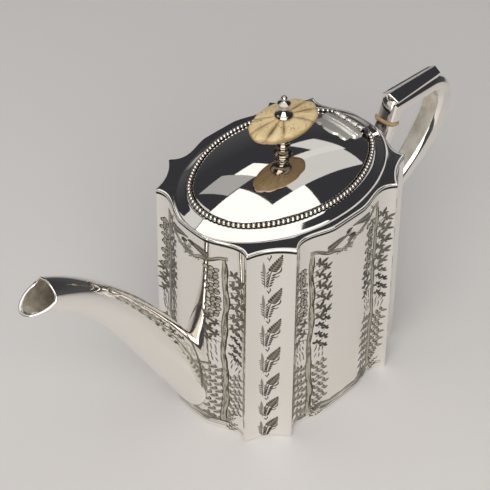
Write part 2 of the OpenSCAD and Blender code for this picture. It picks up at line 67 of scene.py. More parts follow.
# top
LAND_Z = BODY_H + 2.9
BEAD_R = 1.1
BEAD_PITCH = 2.16
LID_OFF = -(BEAD_R + 0.6)
OPENING_OFF = LID_OFF - 1.6
LAND_R = RING_A + BEAD_R + 0.5
FOOT_R = LAND_R + 5.4
LEAF_T = 1.1
BARREL_R = 1.6
HINGE_L = 18.0
KNUCKLES = 5
KNUCKLE_L = HINGE_L / KNUCKLES
KNUCKLE_GAP = 0.1
HINGE_X = RING_A - 4.7              # axis of the hinge pin
HINGE_Z = LAND_Z + LEAF_T + BARREL_R + 0.3
LID_END_X = HINGE_X - BARREL_R - 1
OPENING_END_X = LID_END_X - 0.8
LID_SHEET = 1.0
LID_RISE = 6.8
LID_A = RING_A + LID_OFF
LID_SQUASH = (RING_B + LID_OFF) / LID_A
LID_R = (LID_A ** 2 + LID_RISE ** 2) / (2 * LID_RISE)
LID_EDGE_Z = LAND_Z + 0.3 + LID_SHEET
LID_TOP_Z = LID_EDGE_Z + LID_RISE

# knob
STUD_R = 1.5
STEM_H = 12.0
KNOB_L, KNOB_W, KNOB_T = 37.0, 23.5, 9.0
KNOB_SEAT = 0.25
FINIAL_H = 10.5
KNOB_Z = LID_TOP_Z + STEM_H
KNOB_MID_Z = KNOB_Z + KNOB_T / 2 - KNOB_SEAT
FINIAL_Z = KNOB_Z + KNOB_T - 2 * KNOB_SEAT

# spout
SPOUT_START_IN, SPOUT_START_Z = 3, 20.0      # its line begins this far inside the rim's end
SPOUT_REACH, SPOUT_RISE = 86, 16.2           # and ends this far beyond it, above the body
SPOUT_PULL_LOW, SPOUT_PULL_HIGH = 76, 40     # lengths of the line's two tangents
HEEL_TURN = math.radians(18)        # the line is bent back this far below its start
STRAINER_R = 1.3
SPOUT_ROOT = (12.5, 10.4)           # half depth, half width
SPOUT_MOUTH_R = 7.4
SPOUT_ROOT_ANGLE, SPOUT_MOUTH_ANGLE = math.radians(62), math.radians(20)
SPOUT_SWELL_END = 0.8
BEAK_SLOPE = math.radians(17)

# handle
GRIP_W, GRIP_T, GRIP_FLAT, GRIP_SWELL = 10.5, 8.0, 2.0, 2.2
END_ROUND = 0.35                    # rounding of a bar's end edges
BAR_SHARP = 28                      # degrees; the bevels' edges stay crisp
UPPER_LEAN, LOWER_SLOPE = math.radians(18), math.radians(40)
UPPER_JOINT = np.array([RIM_END + 15.2, BODY_H - 7.4])
LOWER_JOINT = np.array([RIM_END + 14, BODY_H / 2])
UPPER_DIR = np.array([math.sin(UPPER_LEAN), math.cos(UPPER_LEAN)])
LOWER_DIR = np.array([math.cos(LOWER_SLOPE), math.sin(LOWER_SLOPE)])
INSULATOR_T, INSULATOR_PROUD = 1.6, 0.5
HANDLE_START = UPPER_JOINT + INSULATOR_T / 2 * UPPER_DIR
HANDLE_CORNER_X = HANDLE_START[0] + (BODY_H - HANDLE_START[1]) * math.tan(UPPER_LEAN)
GRIP_BACK_X = RIM_END + 53
STRAIGHT_L = 6.0
TENON_L, TENON_PIN_R, PIN_PROUD = 5.0, 0.75, 0.08
CORNER_R = 10.5
THUMB_L, THUMB_H = 33.5, 4.2


# ---------------------------------------------------------------- mesh helpers
def quads(rows, cols, close=True, wrap=False):
    """Quads between rows of cols points; close joins each row round, wrap the last to the first."""
    faces = []
    for i in range(rows if wrap else rows - 1):
        here, there = i * cols, (i + 1) % rows * cols
        for j in range(cols if close else cols - 1):
            k = (j + 1) % cols
            faces.append((here + j, here + k, there + k, there + j))
    return faces


def linked(name, data):
    """A new object, in the scene."""
    obj = bpy.data.objects.new(name, data)
    bpy.context.scene.collection.objects.link(obj)
    return obj


def add_piece(name, verts, faces, materials, body, slot, replaces=(), sharp=None,
              keep_normals=False):
    """One visible piece, from points in mm and names of materials, riding on its CAD body."""
    mesh = bpy.data.meshes.new(name)
    mesh.from_pydata((np.asarray(verts, float).reshape(-1, 3) * MM).tolist(), [], faces)
    for material in materials:
        mesh.materials.append(M[material])
    if not keep_normals:
        bm = bmesh.new()
        bm.from_mesh(mesh)
        bmesh.ops.recalc_face_normals(bm, faces=bm.faces)
        bm.to_mesh(mesh)
        bm.free()
    mesh.shade_smooth()
    if sharp:
        mesh.set_sharp_from_angle(angle=math.radians(sharp))
    obj = linked(name, mesh)
    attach(obj, body)
    if replaces:
        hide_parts(*replaces)
    return obj


def shell(name, rings, *args, wrap=True, **kwargs):
    """A piece made of rings of equally many points; wrap closes the last ring to the first."""
    rings = np.asarray(rings, float)
    return add_piece(name, rings, quads(len(rings), rings.shape[1], wrap=wrap), *args, **kwargs)


def capped(name, rings, *args, **kwargs):
    """A piece made of rings, with a flat face over its first and its last ring."""
    rings = np.asarray(rings)
    rows, cols = rings.shape[:2]
    faces = quads(rows, cols)
    faces += [tuple(reversed(range(cols))), tuple(range((rows - 1) * cols, rows * cols))]
    return add_piece(name, rings, faces, *args, **kwargs)


def slab(name, top, base, cols, *args, **kwargs):
    """A solid piece between two grids of points with cols points in a row."""
    n = len(top)
    faces = quads(n // cols, cols, close=False)
    faces += [tuple(i + n for i in reversed(f)) for f in faces]
    for line in (range(0, n, cols), range(cols - 1, n, cols), range(cols), range(n - cols, n)):
        faces += [(a, b, b + n, a + n) for a, b in zip(line, line[1:])]
    return add_piece(name, np.vstack([top, base]), faces, *args, **kwargs)


def second_material(obj, chosen):
    """Gives the chosen faces the piece's second material."""
    obj.data.polygons.foreach_set("material_index", np.asarray(chosen, np.int32))


def tag(obj, name, values):
    """Stores one number for each vertex, for the material to read."""
    values = np.asarray(values, np.float32).ravel()
    obj.data.attributes.new(name, "FLOAT", "POINT").data.foreach_set("value", values)


def add_modifier(obj, kind, **values):
    """Adds one modifier and applies it at once."""
    modifier = obj.modifiers.new(kind.lower(), kind)
    for key, value in values.items():
        setattr(modifier, key, value)
    graph = bpy.context.evaluated_depsgraph_get()
    graph.update()
    mesh = bpy.data.meshes.new_from_object(obj.evaluated_get(graph))
    obj.modifiers.clear()
    old = obj.data
    obj.data = mesh
    bpy.data.meshes.remove(old)


def unit(v):
    return v / np.linalg.norm(v, axis=-1, keepdims=True)


def heading(angle):
    """The unit direction at an angle, and the one 90 degrees to its left."""
    c, s = math.cos(angle), math.sin(angle)
    return np.array([c, s]), np.array([-s, c])


def smoothstep(x):
    x = np.clip(x, 0, 1)
    return x * x * (3 - 2 * x)


def catmull(points, steps):
    """A smooth curve through the given points."""
    p = np.asarray(points, float)
    p = np.vstack([2 * p[0] - p[1], p, 2 * p[-1] - p[-2]])
    out = []
    for i in range(1, len(p) - 2):
        for t in np.linspace(0, 1, steps, endpoint=False):
            a, b, c, d = p[i - 1:i + 3]
            out.append(0.5 * (2 * b + (c - a) * t + (2 * a - 5 * b + 4 * c - d) * t * t
                              + (3 * b - a - 3 * c + d) * t ** 3))
    out.append(p[-2])
    return [tuple(q) for q in out]


def bezier(p, t):
    t = np.asarray(t, float)[:, None]
    p = [np.asarray(q, float) for q in p]
    return ((1 - t) ** 3 * p[0] + 3 * (1 - t) ** 2 * t * p[1]
            + 3 * (1 - t) * t * t * p[2] + t ** 3 * p[3])


# ---------------------------------------------------------------- the fluted outline
CUSPS = np.array([(END_X, -END_Y), (END_X, END_Y), (SIDE_X, SIDE_Y), (-SIDE_X, SIDE_Y),
                  (-END_X, END_Y), (-END_X, -END_Y), (-SIDE_X, -SIDE_Y), (SIDE_X, -SIDE_Y)])
CRESTS = {0: END_SWELL, 2: SIDE_SWELL, 4: END_SWELL, 6: SIDE_SWELL}     # the odd panels are flutes
BACK_END, FAR_SIDE, SPOUT_END, NEAR_SIDE = CRESTS


def panel_half(k):
    """Half the straight width of panel k at the rim."""
    return np.linalg.norm(CUSPS[(k + 1) % 8] - CUSPS[k]) / 2


def panel_xy(k, u):
    p, q = CUSPS[k], CUSPS[(k + 1) % 8]
    u = np.asarray(u, float)
    half = (q - p) / 2
    out = np.array([half[1], -half[0]]) / np.linalg.norm(half)
    if k in CRESTS:
        s = np.clip((abs(u) - DIP_START) / (1 - DIP_START), 0, None)
        off = CRESTS[k] * (1 - u * u) - CUSP_DIP * s * s * (1 - s) / (4 / 27)
    else:
        off = -FLUTE_DEPTH * (1 - u * u)
    return (p + q) / 2 + u[..., None] * half + off[..., None] * out


def flare(z):
    return BASE_FLARE + (1 - BASE_FLARE) * np.asarray(z, float) / WALL_H


def on_panel(k, s, z, lift=0.0):
    """Points of the outer face: s mm along panel k from its middle, z mm above the table."""
    s, z = np.asarray(s, float), np.asarray(z, float)
    u = s / panel_half(k)
    step = 0.01
    a, b = panel_xy(k, u - step), panel_xy(k, u + step)
    t = unit(b - a)
    xy = panel_xy(k, u) * flare(z)[..., None] + lift * np.stack([t[..., 1], -t[..., 0]], -1)
    return np.concatenate([xy, z[..., None]], -1)


def fine_outline(wide_steps=72, flute_steps=26, round_steps=4):
    points = []
    for k in range(8):
        cut = CUSP_ROUND / panel_half(k)
        steps = wide_steps if k in CRESTS else flute_steps
        curve = panel_xy(k, np.linspace(-1 + cut, 1 - cut, steps))
        points += list(curve)
        nxt = (k + 1) % 8
        start = panel_xy(nxt, np.array([-1 + CUSP_ROUND / panel_half(nxt)]))[0]
        corner = CUSPS[nxt]
        for t in np.linspace(0, 1, round_steps + 2)[1:-1]:
            points.append((1 - t) ** 2 * curve[-1] + 2 * (1 - t) * t * corner + t * t * start)
    return np.array(points)


OUTLINE = fine_outline()


def inset(xy, d):
    return xy * (1 - d / np.linalg.norm(xy, axis=1, keepdims=True))


def ring_at(xy, z):
    z = np.broadcast_to(z, len(xy))
    return np.column_stack([xy, z])


SHARP_OUTLINE = np.vstack([panel_xy(k, np.linspace(-1, 1, 60, endpoint=False)) for k in range(8)])
OUTLINE_ANGLE = np.unwrap(np.arctan2(SHARP_OUTLINE[:, 1], SHARP_OUTLINE[:, 0]))
OUTLINE_RADIUS = np.linalg.norm(SHARP_OUTLINE, axis=1)


def depth_in_body(p):
    """How far outside the body's outer face a point is, along its radius; negative inside."""
    r = np.linalg.norm(p[..., :2], axis=-1)
    a = np.arctan2(p[..., 1], p[..., 0])
    a = np.where(a < OUTLINE_ANGLE[0], a + 2 * math.pi, a)
    return r - flare(p[..., 2]) * np.interp(a, OUTLINE_ANGLE, OUTLINE_RADIUS, period=2 * math.pi)


# ---------------------------------------------------------------- the oval and its parallels
def oval_point(a, d=0.0):
    a = np.asarray(a, float)
    c, s = np.cos(a), np.sin(a)
    ends = abs(s) <= math.sin(math.atan2(RING_C2, RING_C1))
    x = np.where(ends, np.sign(c) * RING_C1 + (RING_R1 + d) * c, (RING_R2 + d) * c)
    y = np.where(ends, (RING_R1 + d) * s, -np.sign(s) * RING_C2 + (RING_R2 + d) * s)
    return np.stack([x, y], -1)


def oval_radius(phi, d):
    """Distance from the middle to the oval moved out by d, in the direction phi."""
    p = oval_point(np.linspace(-math.pi, math.pi, 1441), d)
    return np.interp(phi, np.arctan2(p[:, 1], p[:, 0]), np.linalg.norm(p, axis=1))


def cut_straight(radius, phi, x_end):
    """The same radius, cut by the straight end at x_end."""
    limit = np.where(np.cos(phi) > 0.05, x_end / np.maximum(np.cos(phi), 0.05), 1e3)
    return np.minimum(radius, limit)


def dome_z(x, y, raised=0.0):
    r = LID_R + raised
    return LID_TOP_Z - LID_R + np.sqrt(r * r - x * x - (y / LID_SQUASH) ** 2)


# ---------------------------------------------------------------- materials
# near-black of the painted shade, laid where a piece's 'shade' attribute is set
PAINTED_SHADE = (0.045, 0.036, 0.026)


def new_material(name):
    material = bpy.data.materials.new(name)
    material.use_nodes = True
    tree = material.node_tree
    return material, tree, tree.nodes["Principled BSDF"]


def node(tree, kind, **values):
    made = tree.nodes.new(kind)
    for key, value in values.items():
        if key in made.inputs:
            made.inputs[key].default_value = value
        else:
            setattr(made, key, value)
    return made


def noise(tree, scale, detail=3.0, roughness=0.5, stretch=None):
    source = node(tree, "ShaderNodeTexCoord").outputs["Object"]
    if stretch:
        mapping = node(tree, "ShaderNodeMapping", Scale=stretch)
        tree.links.new(source, mapping.inputs["Vector"])
        source = mapping.outputs["Vector"]
    made = node(tree, "ShaderNodeTexNoise", Scale=scale, Detail=detail, Roughness=roughness)
    tree.links.new(source, made.inputs["Vector"])
    return made.outputs["Fac"]


def stored(tree, name):
    """The number that tag() stored for each vertex."""
    return node(tree, "ShaderNodeAttribute", attribute_name=name).outputs["Fac"]


def spread(tree, source, low, high, to_low, to_high):
    made = node(tree, "ShaderNodeMapRange")
    for key, value in (("From Min", low), ("From Max", high), ("To Min", to_low),
                       ("To Max", to_high)):
        made.inputs[key].default_value = value
    tree.links.new(source, made.inputs["Value"])
    return made.outputs["Result"]


def mixed(tree, factor, a, b):
    """A colour between a and b; each is a colour or a socket."""
    made = node(tree, "ShaderNodeMix", data_type="RGBA")
    tree.links.new(factor, made.inputs[0])
    for value, socket in ((a, made.inputs[6]), (b, made.inputs[7])):
        if isinstance(value, bpy.types.NodeSocket):
            tree.links.new(value, socket)
        else:
            socket.default_value = (*value, 1)
    return made.outputs[2]


def sum_of(tree, a, b):
    made = node(tree, "ShaderNodeMath", operation="ADD")
    tree.links.new(a, made.inputs[0])
    tree.links.new(b, made.inputs[1])
    return made.outputs[0]


def dress(tree, shader, colour, gloss, layers=(), **values):
    """Wires colour, roughness and bump layers (height, strength, distance in m) to the shader."""
    tree.links.new(colour, shader.inputs["Base Color"])
    tree.links.new(gloss, shader.inputs["Roughness"])
    last = None
    for height, strength, distance in layers:
        bump = node(tree, "ShaderNodeBump", Strength=strength, Distance=distance)
        tree.links.new(height, bump.inputs["Height"])
        if last:
            tree.links.new(last, bump.inputs["Normal"])
        last = bump.outputs["Normal"]
    if last:
        tree.links.new(last, shader.inputs["Normal"])
    for key, value in values.items():
        shader.inputs[key.replace("_", " ")].default_value = value


def silver_material(name, bright=(0.93, 0.905, 0.86), tarnish=(0.74, 0.69, 0.60),
                    rough=(0.035, 0.085), wave=0.00006, tarnish_from=0.62, shaded=False,
                    metallic=1.0, patch=26):
    """Polished plate: soft waves of hand work, fine rubbing marks, faint warm tarnish; when shaded,
    painted shade.
    """
    material, tree, shader = new_material(name)
    patches = noise(tree, patch, 4, 0.6)
    colour = mixed(tree, spread(tree, patches, tarnish_from, 0.86, 0, 0.8), bright, tarnish)
    smears = noise(tree, 60, 5, 0.65, (1, 1, 0.35))
    gloss = spread(tree, smears, 0.35, 0.75, *rough)
    # painted shade: where the 'shade' attribute is 1 the colour goes near-black and the surface
    # rougher
    if shaded:
        shade = stored(tree, "shade")
        colour = mixed(tree, shade, colour, PAINTED_SHADE)
        gloss = sum_of(tree, gloss, spread(tree, shade, 0, 1, 0, 0.3))
    waves = noise(tree, 24, 1, 0.4)
    rub = noise(tree, 1500, 2, 0.6, (1, 1, 0.08))
    dress(tree, shader, colour, gloss, [(waves, 1.0, wave * 12), (rub, 0.12, 0.00001)],
          Metallic=metallic)
    return material


# the kinds of plate: how each differs from plain polished silver
SILVERS = {
    "silver": dict(name="polished_silver"),
    "lid_silver": dict(rough=(0.02, 0.05), wave=0.00002),
    "body_silver": dict(name="engraved_body_silver", rough=(0.06, 0.13), wave=0.00005),
    "worn_silver": dict(tarnish=(0.50, 0.41, 0.29), rough=(0.07, 0.2), tarnish_from=0.45),
    # the beads: silver toned down to paint dimmer reflections, and painted shade from the 'shade'
    # attribute
    "bead_silver": dict(bright=(0.80, 0.77, 0.70), tarnish=(0.45, 0.38, 0.27), rough=(0.05, 0.12),
                        wave=0.00001, tarnish_from=0.5, shaded=True),
    "shoulder_silver": dict(rough=(0.025, 0.06), wave=0.00003, shaded=True),
    "leaf_silver": dict(bright=(0.95, 0.92, 0.85), tarnish=(0.56, 0.46, 0.32), rough=(0.14, 0.26),
                        tarnish_from=0.5, metallic=0.68),
    "pin_silver": dict(rough=(0.12, 0.22), metallic=0.85),
    # painted shade: the stem under the knob is silver darkened to paint its dark reflections and
    # the knob's shade
    "stem_silver": dict(bright=(0.40, 0.36, 0.30), tarnish=(0.16, 0.11, 0.06), rough=(0.08, 0.18),
                        tarnish_from=0.42),
    # painted reflection: the finial is silver darkened to paint its dark bands of reflection
    "finial_silver": dict(bright=(0.70, 0.67, 0.60), tarnish=(0.22, 0.16, 0.10), rough=(0.05, 0.12),
                          tarnish_from=0.42),
    "mouth_silver": dict(bright=(0.92, 0.85, 0.73), tarnish=(0.16, 0.10, 0.055), rough=(0.30, 0.46),
                         tarnish_from=0.38, metallic=0.75, patch=230),
    "grip_silver": dict(bright=(0.95, 0.90, 0.79), tarnish=(0.36, 0.26, 0.15), rough=(0.18, 0.34),
                        tarnish_from=0.42, metallic=0.5, patch=130),
    "inner_silver": dict(bright=(0.62, 0.57, 0.49), tarnish=(0.20, 0.14, 0.09), rough=(0.22, 0.42),
                         tarnish_from=0.35),
}


def engraving_material():
    """Cut lines, darkened by oxide."""
    material, tree, shader = new_material("oxidised_engraving")
    specks = noise(tree, 900, 3, 0.7)
    base = mixed(tree, stored(tree, "tone"), (0.024, 0.019, 0.012), (0.46, 0.43, 0.35))
    colour = mixed(tree, spread(tree, specks, 0.6, 0.85, 0, 0.35), base, (0.42, 0.38, 0.30))
    dress(tree, shader, colour, spread(tree, specks, 0.3, 0.7, 0.35, 0.55), Metallic=0.3)
    return material


def ivory_material():
    """Cream, ochre at the rim, brown in the grooves, painted shade on the underside, with small
    dark pits.
    """
    material, tree, shader = new_material("carved_ivory")
    cloud = noise(tree, 150, 4, 0.6)
    streak = noise(tree, 420, 4, 0.7, (0.35, 1, 1))
    pits = noise(tree, 700, 3, 0.7)
    base = (0.76, 0.62, 0.37)
    for factor, colour in ((spread(tree, cloud, 0.35, 0.7, 0, 1), (0.66, 0.50, 0.25)),
                           (spread(tree, streak, 0.54, 0.75, 0, 0.55), (0.58, 0.40, 0.19)),
                           (stored(tree, "rim"), (0.66, 0.47, 0.17)),
                           # this brown also paints the shade on the knob's underside
                           (stored(tree, "groove_stain_and_underside_shade"), (0.17, 0.075, 0.025)),
                           (spread(tree, pits, 0.58, 0.66, 0, 0.8), (0.22, 0.12, 0.05))):
        base = mixed(tree, factor, base, colour)
    dress(tree, shader, base, spread(tree, cloud, 0.3, 0.7, 0.26, 0.42),
          [(streak, 0.35, 0.0002), (pits, 0.25, 0.00015)],
          Subsurface_Weight=0.12, Subsurface_Radius=(0.004, 0.002, 0.001), Subsurface_Scale=0.5)
    return material


def insulator_material():
    """The same ivory, plain and toned by age."""
    material, tree, shader = new_material("insulator_ivory")
    cloud = noise(tree, 220, 4, 0.6)
    layers = noise(tree, 900, 3, 0.6, (0.2, 0.2, 2.0))
    base = mixed(tree, spread(tree, cloud, 0.35, 0.7, 0, 1), (0.50, 0.37, 0.20), (0.33, 0.21, 0.09))
    base = mixed(tree, spread(tree, layers, 0.5, 0.75, 0, 0.5), base, (0.60, 0.48, 0.30))
    dress(tree, shader, base, spread(tree, cloud, 0.3, 0.7, 0.25, 0.4), [(layers, 0.3, 0.0001)])
    return material


def brass_material():
    """Turned brass of the stud, washer and nut."""
    material, tree, shader = new_material("turned_brass")
    patches = noise(tree, 300, 4, 0.6)
    turning = noise(tree, 2600, 2, 0.5, (0.05, 0.05, 1))
    worn = spread(tree, patches, 0.4, 0.75, 0, 1)
    gloss = spread(tree, patches, 0.3, 0.7, 0.18, 0.36)
    dress(tree, shader, mixed(tree, worn, (0.80, 0.60, 0.30), (0.42, 0.27, 0.11)), gloss,
          [(turning, 0.3, 0.00004)], Metallic=1.0)
    return material


M = {key: silver_material(**{"name": key, **values}) for key, values in SILVERS.items()}
M.update(engraving=engraving_material(), ivory=ivory_material(), insulator=insulator_material(),
         brass=brass_material())


# ---------------------------------------------------------------- body
def strainer_cutters():
    """Rods on a triangular pitch where the spout's root covers the wall."""
    pitch = (SPOUT_ROOT[1] - SHEET - 0.4 - STRAINER_R) / 2
    z0 = SPOUT_START_Z + SPOUT_START_IN * math.tan(SPOUT_ROOT_ANGLE) + 4
    lying = Matrix.Rotation(math.pi / 2, 4, "Y")
    bm = bmesh.new()
    for q in range(-2, 3):
        for s in range(max(-2, -q - 2), min(2, -q + 2) + 1):
            middle = Vector((-RIM_END * 1.02, (q + s / 2) * pitch, z0 + s * pitch * 0.866)) * MM
            bmesh.ops.create_cone(bm, cap_ends=True, segments=20, radius1=STRAINER_R * MM,
                                  radius2=STRAINER_R * MM, depth=14 * MM,
                                  matrix=Matrix.Translation(middle) @ lying)
    mesh = bpy.data.meshes.new("strainer_cutters")
    bm.to_mesh(mesh)
    bm.free()
    return linked("strainer_cutters", mesh)


def build_body_wall():
    levels = [(0.0, 0.35), (0.12, 0.1), (0.4, 0.0)] + [(z, 0.0) for z in np.linspace(3, WALL_H, 24)]
    rings = [ring_at(inset(OUTLINE, d) * flare(z), z) for z, d in levels]
    rings += [ring_at(inset(OUTLINE, SHEET) * flare(z), z) for z in np.linspace(WALL_H, 0, 12)]
    wall = shell("body_wall_looks", rings, ["body_silver", "inner_silver"], "pot", "silver",
                 ["body_wall"])
    cutters = strainer_cutters()
    add_modifier(wall, "BOOLEAN", object=cutters, operation="DIFFERENCE", solver="EXACT")
    bpy.data.objects.remove(cutters)
    mesh = wall.data
    centres = np.zeros(len(mesh.polygons) * 3, np.float32)
    mesh.polygons.foreach_get("center", centres)
    second_material(wall, depth_in_body(centres.reshape(-1, 3) / MM) < -0.45 * SHEET)
    mesh.set_sharp_from_angle(angle=math.radians(45))


def build_shoulder():
    """The sheet that closes the body: flat land, soft slope, flat corners and a turned edge."""
    xy = OUTLINE
    phi = np.arctan2(xy[:, 1], xy[:, 0])
    rho = np.hypot(xy[:, 0], xy[:, 1] / OVAL_SQUASH)
    size = np.linalg.norm(xy, axis=1)
    opening = cut_straight(oval_radius(phi, OPENING_OFF), phi, OPENING_END_X) / size

    soft = 0.9                                       # half length of the rounding at each edge

    def slope_z(r):
        run = (r - LAND_R) / (FOOT_R - LAND_R)
        z = LAND_Z - (LAND_Z - BODY_H) * np.clip(run, 0, 1)
        for edge, turn in ((LAND_R, -1), (FOOT_R, 1)):
            near = np.clip(soft - abs(r - edge), 0, None)
            z = z + turn * near ** 2 / (4 * soft) * (LAND_Z - BODY_H) / (FOOT_R - LAND_R)
        return z

    def at_rho(r):
        r = np.minimum(r, rho - 0.6)
        return ring_at(xy * (r / rho)[:, None], slope_z(r))

    def at_share(share, z):
        return ring_at(xy * share[:, None], z)

    rings = [at_share(opening, LAND_Z)]
    for d in (-1.7, -1.2, -0.7, 0.0):
        rings.append(at_share(np.maximum(oval_radius(phi, d) / size, opening), LAND_Z))
    dark = [1, 1, 1, 0.6, 0]                         # of the first rings, in the beads' shadow
    rings.append(at_share((LAND_R - 1) / rho, LAND_Z))
    rings += [at_rho(r) for r in np.linspace(LAND_R - soft, FOOT_R + soft, 26)]
    foot_share = np.minimum(FOOT_R + 1, rho - 0.55) / rho
    edge_share = np.linalg.norm(inset(xy, 0.5), axis=1) / size
    for t in (0.3, 0.6, 0.85):
        rings.append(at_share(foot_share + (edge_share - foot_share) * t, BODY_H))
    lip = 0.3                                        # the sheet stands a little proud of the wall
    for d, z in ((0.35, 0.0), (0.0, -0.05), (-0.2, -0.2), (-lip, -0.5), (-lip, -0.8),
                 (-0.15, -1.05), (0.15, -1.16)):
        rings.append(ring_at(inset(xy, d), BODY_H + z))
    under = LAND_Z - SHEET
    rings.append(at_rho(FOOT_R - SHEET / 2) * [1, 1, 0] + [0, 0, BODY_H - SHEET])
    rings.append(at_rho(LAND_R - SHEET / 2) * [1, 1, 0] + [0, 0, under])
    rings.append(at_share(opening, under))
    obj = shell("shoulder_looks", rings, ["shoulder_silver"], "pot", "silver", ["shoulder"],
                sharp=50)
    shade = np.zeros((len(rings), len(xy)))
    shade[:len(dark)] = np.array(dark)[:, None]
    tag(obj, "shade", shade)
    # painted shadow: a dark strip under the turned edge, along the seam
    line = [ring_at(inset(OUTLINE, -d) * flare(z), z) for d, z in
            ((0.02, WALL_H - 1.1), (0.1, WALL_H - 0.9), (0.1, WALL_H + 0.02), (-0.2, WALL_H + 0.02),
             (-0.2, WALL_H - 1.1))]
    obj = shell("rim_painted_shadow", line, ["shoulder_silver"], "pot", "silver", sharp=50)
    tag(obj, "shade", np.ones(len(line) * len(OUTLINE)))


def build_bead_ring():
    """Beaded wire: one skin whose radius swells at each bead, on a thin soldered fillet, with
    painted shade in the waists, under each bead and over the fillet.
    """
    gap = math.asin((HINGE_L / 2 + 1.0 + BEAD_R) / RING_R1)
    a = np.linspace(gap, 2 * math.pi - gap, 4000)
    path = oval_point(a)
    length = np.concatenate([[0], np.cumsum(np.linalg.norm(np.diff(path, axis=0), axis=1))])
    beads = round(length[-1] / BEAD_PITCH)
    pitch = length[-1] / beads
    per_bead = 14
    s = np.linspace(0, length[-1], beads * per_bead + 1)
    angle = np.interp(s, length, a)
    centre = oval_point(angle)
    across = np.stack([np.cos(angle), np.sin(angle)], -1)
    offset = (s / pitch - np.floor(s / pitch) - 0.5) * pitch
    radius = np.sqrt(np.clip(BEAD_R ** 2 - (offset * BEAD_R / (pitch / 2) * 0.985) ** 2, 0, None))
    radius = np.maximum(radius, 0.22 * BEAD_R)
    # painted shade in the waists between the beads
    dark = np.clip((np.abs(offset) / (pitch / 2) - 0.66) / 0.2, 0, 1)
    radius[0] = radius[-1] = 0.05
    sides = 20
    b = 2 * math.pi * np.arange(sides) / sides
    rings = np.empty((len(s), sides, 3))
    rings[..., :2] = centre[:, None] + across[:, None] * (radius[:, None] * np.cos(b))[..., None]
    rings[..., 2] = LAND_Z + BEAD_R + radius[:, None] * np.sin(b)
    obj = shell("bead_wire", rings, ["bead_silver"], "pot", "silver", ["bead_ring"], wrap=False)
    # painted shade on the lower side of each bead
    low_side = np.clip(2.2 * (-0.1 - np.sin(b)), 0, 1)
    tag(obj, "shade", np.maximum(dark[:, None], low_side[None, :]))
    # fillet under the beads, painted shade all over
    low = np.linspace(gap, 2 * math.pi - gap, 400)
    profile = [(-0.7, 0.02), (-0.5, 0.2), (-0.25, 0.34), (0.25, 0.34), (0.5, 0.2), (0.7, 0.02)]
    rings = np.array([ring_at(oval_point(low, d), LAND_Z + z) for d, z in profile])
    faces = quads(len(profile), len(low), close=False)
    obj = add_piece("bead_fillet", rings, faces, ["bead_silver"], "pot", "silver")
    tag(obj, "shade", np.ones(rings[..., 0].size))


# ---------------------------------------------------------------- spout
def spout_grid(inner, sides=72, fine=420):
    """Points of the spout's outer or inner face, before it is cut: [place along, place round]."""
    p0 = np.array([SPOUT_START_IN - RIM_END, SPOUT_START_Z])
    p3 = np.array([-RIM_END - SPOUT_REACH, BODY_H + SPOUT_RISE])
    line = [p0, p0 + SPOUT_PULL_LOW * (heading(SPOUT_ROOT_ANGLE)[0] * [-1, 1]),
            p3 + SPOUT_PULL_HIGH * (heading(SPOUT_MOUTH_ANGLE)[0] * [1, -1]), p3]
    heel_r = 2.4 * SPOUT_ROOT[0]
    heel_c = p0 + heel_r * np.array([math.sin(SPOUT_ROOT_ANGLE), math.cos(SPOUT_ROOT_ANGLE)])
    turn = SPOUT_ROOT_ANGLE - np.linspace(HEEL_TURN, 0, 60, endpoint=False)
    heel = heel_c - heel_r * np.stack([np.sin(turn), np.cos(turn)], -1)
    t = np.concatenate([np.zeros(len(heel)), np.linspace(0, 1, fine)])
    path = np.vstack([heel, bezier(line, np.linspace(0, 1, fine))])
    way = unit(np.gradient(path, axis=0))
    share = smoothstep(t / SPOUT_SWELL_END)
    deep = SPOUT_ROOT[0] + (SPOUT_MOUTH_R - SPOUT_ROOT[0]) * share - inner
    wide = SPOUT_ROOT[1] + (SPOUT_MOUTH_R - SPOUT_ROOT[1]) * share - inner
    a = 2 * math.pi * np.arange(sides) / sides
    u = deep[:, None] * np.cos(a)
    v = wide[:, None] * np.sin(a)
    x = path[:, :1] - way[:, 1:] * u
    z = path[:, 1:] + way[:, :1] * u
    return np.stack([x, v, z], -1), p3


def trimmed(grid, first, last, rings):
    """Resamples each column of the grid between its own first and last place."""
    place = first + (last - first) * smoothstep(np.linspace(0, 1, rings))[:, None]
    low = np.clip(place.astype(int), 0, len(grid) - 2)
    part = (place - low)[..., None]
    cols = np.arange(grid.shape[1])
    return grid[low, cols] * (1 - part) + grid[low + 1, cols] * part


def crossing(values, start, step):
    """Where each column of values first passes zero, walking from start by step."""
    out = np.zeros(values.shape[1])
    for j in range(values.shape[1]):
        i = start
        while 0 <= i + step < len(values) and values[i, j] * values[i + step, j] > 0:
            i += step
        k = i + step
        if not 0 <= k < len(values):
            out[j] = i
            continue
        out[j] = i + step * values[i, j] / (values[i, j] - values[k, j])
    return out


def outside_mouth_cut(p, mouth):
    """Distance outside the cut that opens the mouth: upright, a turn, then the beak's slope."""
    turn_r = 0.4 * SPOUT_MOUTH_R
    x = p[..., 0] - mouth[0] - 1.18 * SPOUT_MOUTH_R
    z = p[..., 2] - mouth[1] + 0.13 * SPOUT_MOUTH_R
    upright = x - turn_r
    slope = x * math.sin(BEAK_SLOPE) - z * math.cos(BEAK_SLOPE) - turn_r
    in_turn = (z < 0) & (x * math.cos(BEAK_SLOPE) + z * math.sin(BEAK_SLOPE) > 0)
    return np.where(in_turn, np.hypot(x, z) - turn_r, np.maximum(upright, slope))


def spout_faces():
    faces = []
    for inner in (0.0, SHEET):
        grid, p3 = spout_grid(inner)
        mouth = outside_mouth_cut(grid, p3)
        sunk = depth_in_body(grid) + (0.0 if inner else 0.25)
        first = crossing(sunk, len(grid) // 2, -1)
        last = crossing(mouth, len(grid) // 2, 1)
        faces.append((grid, first, last))
    return faces


SPOUT_FACES = spout_faces()


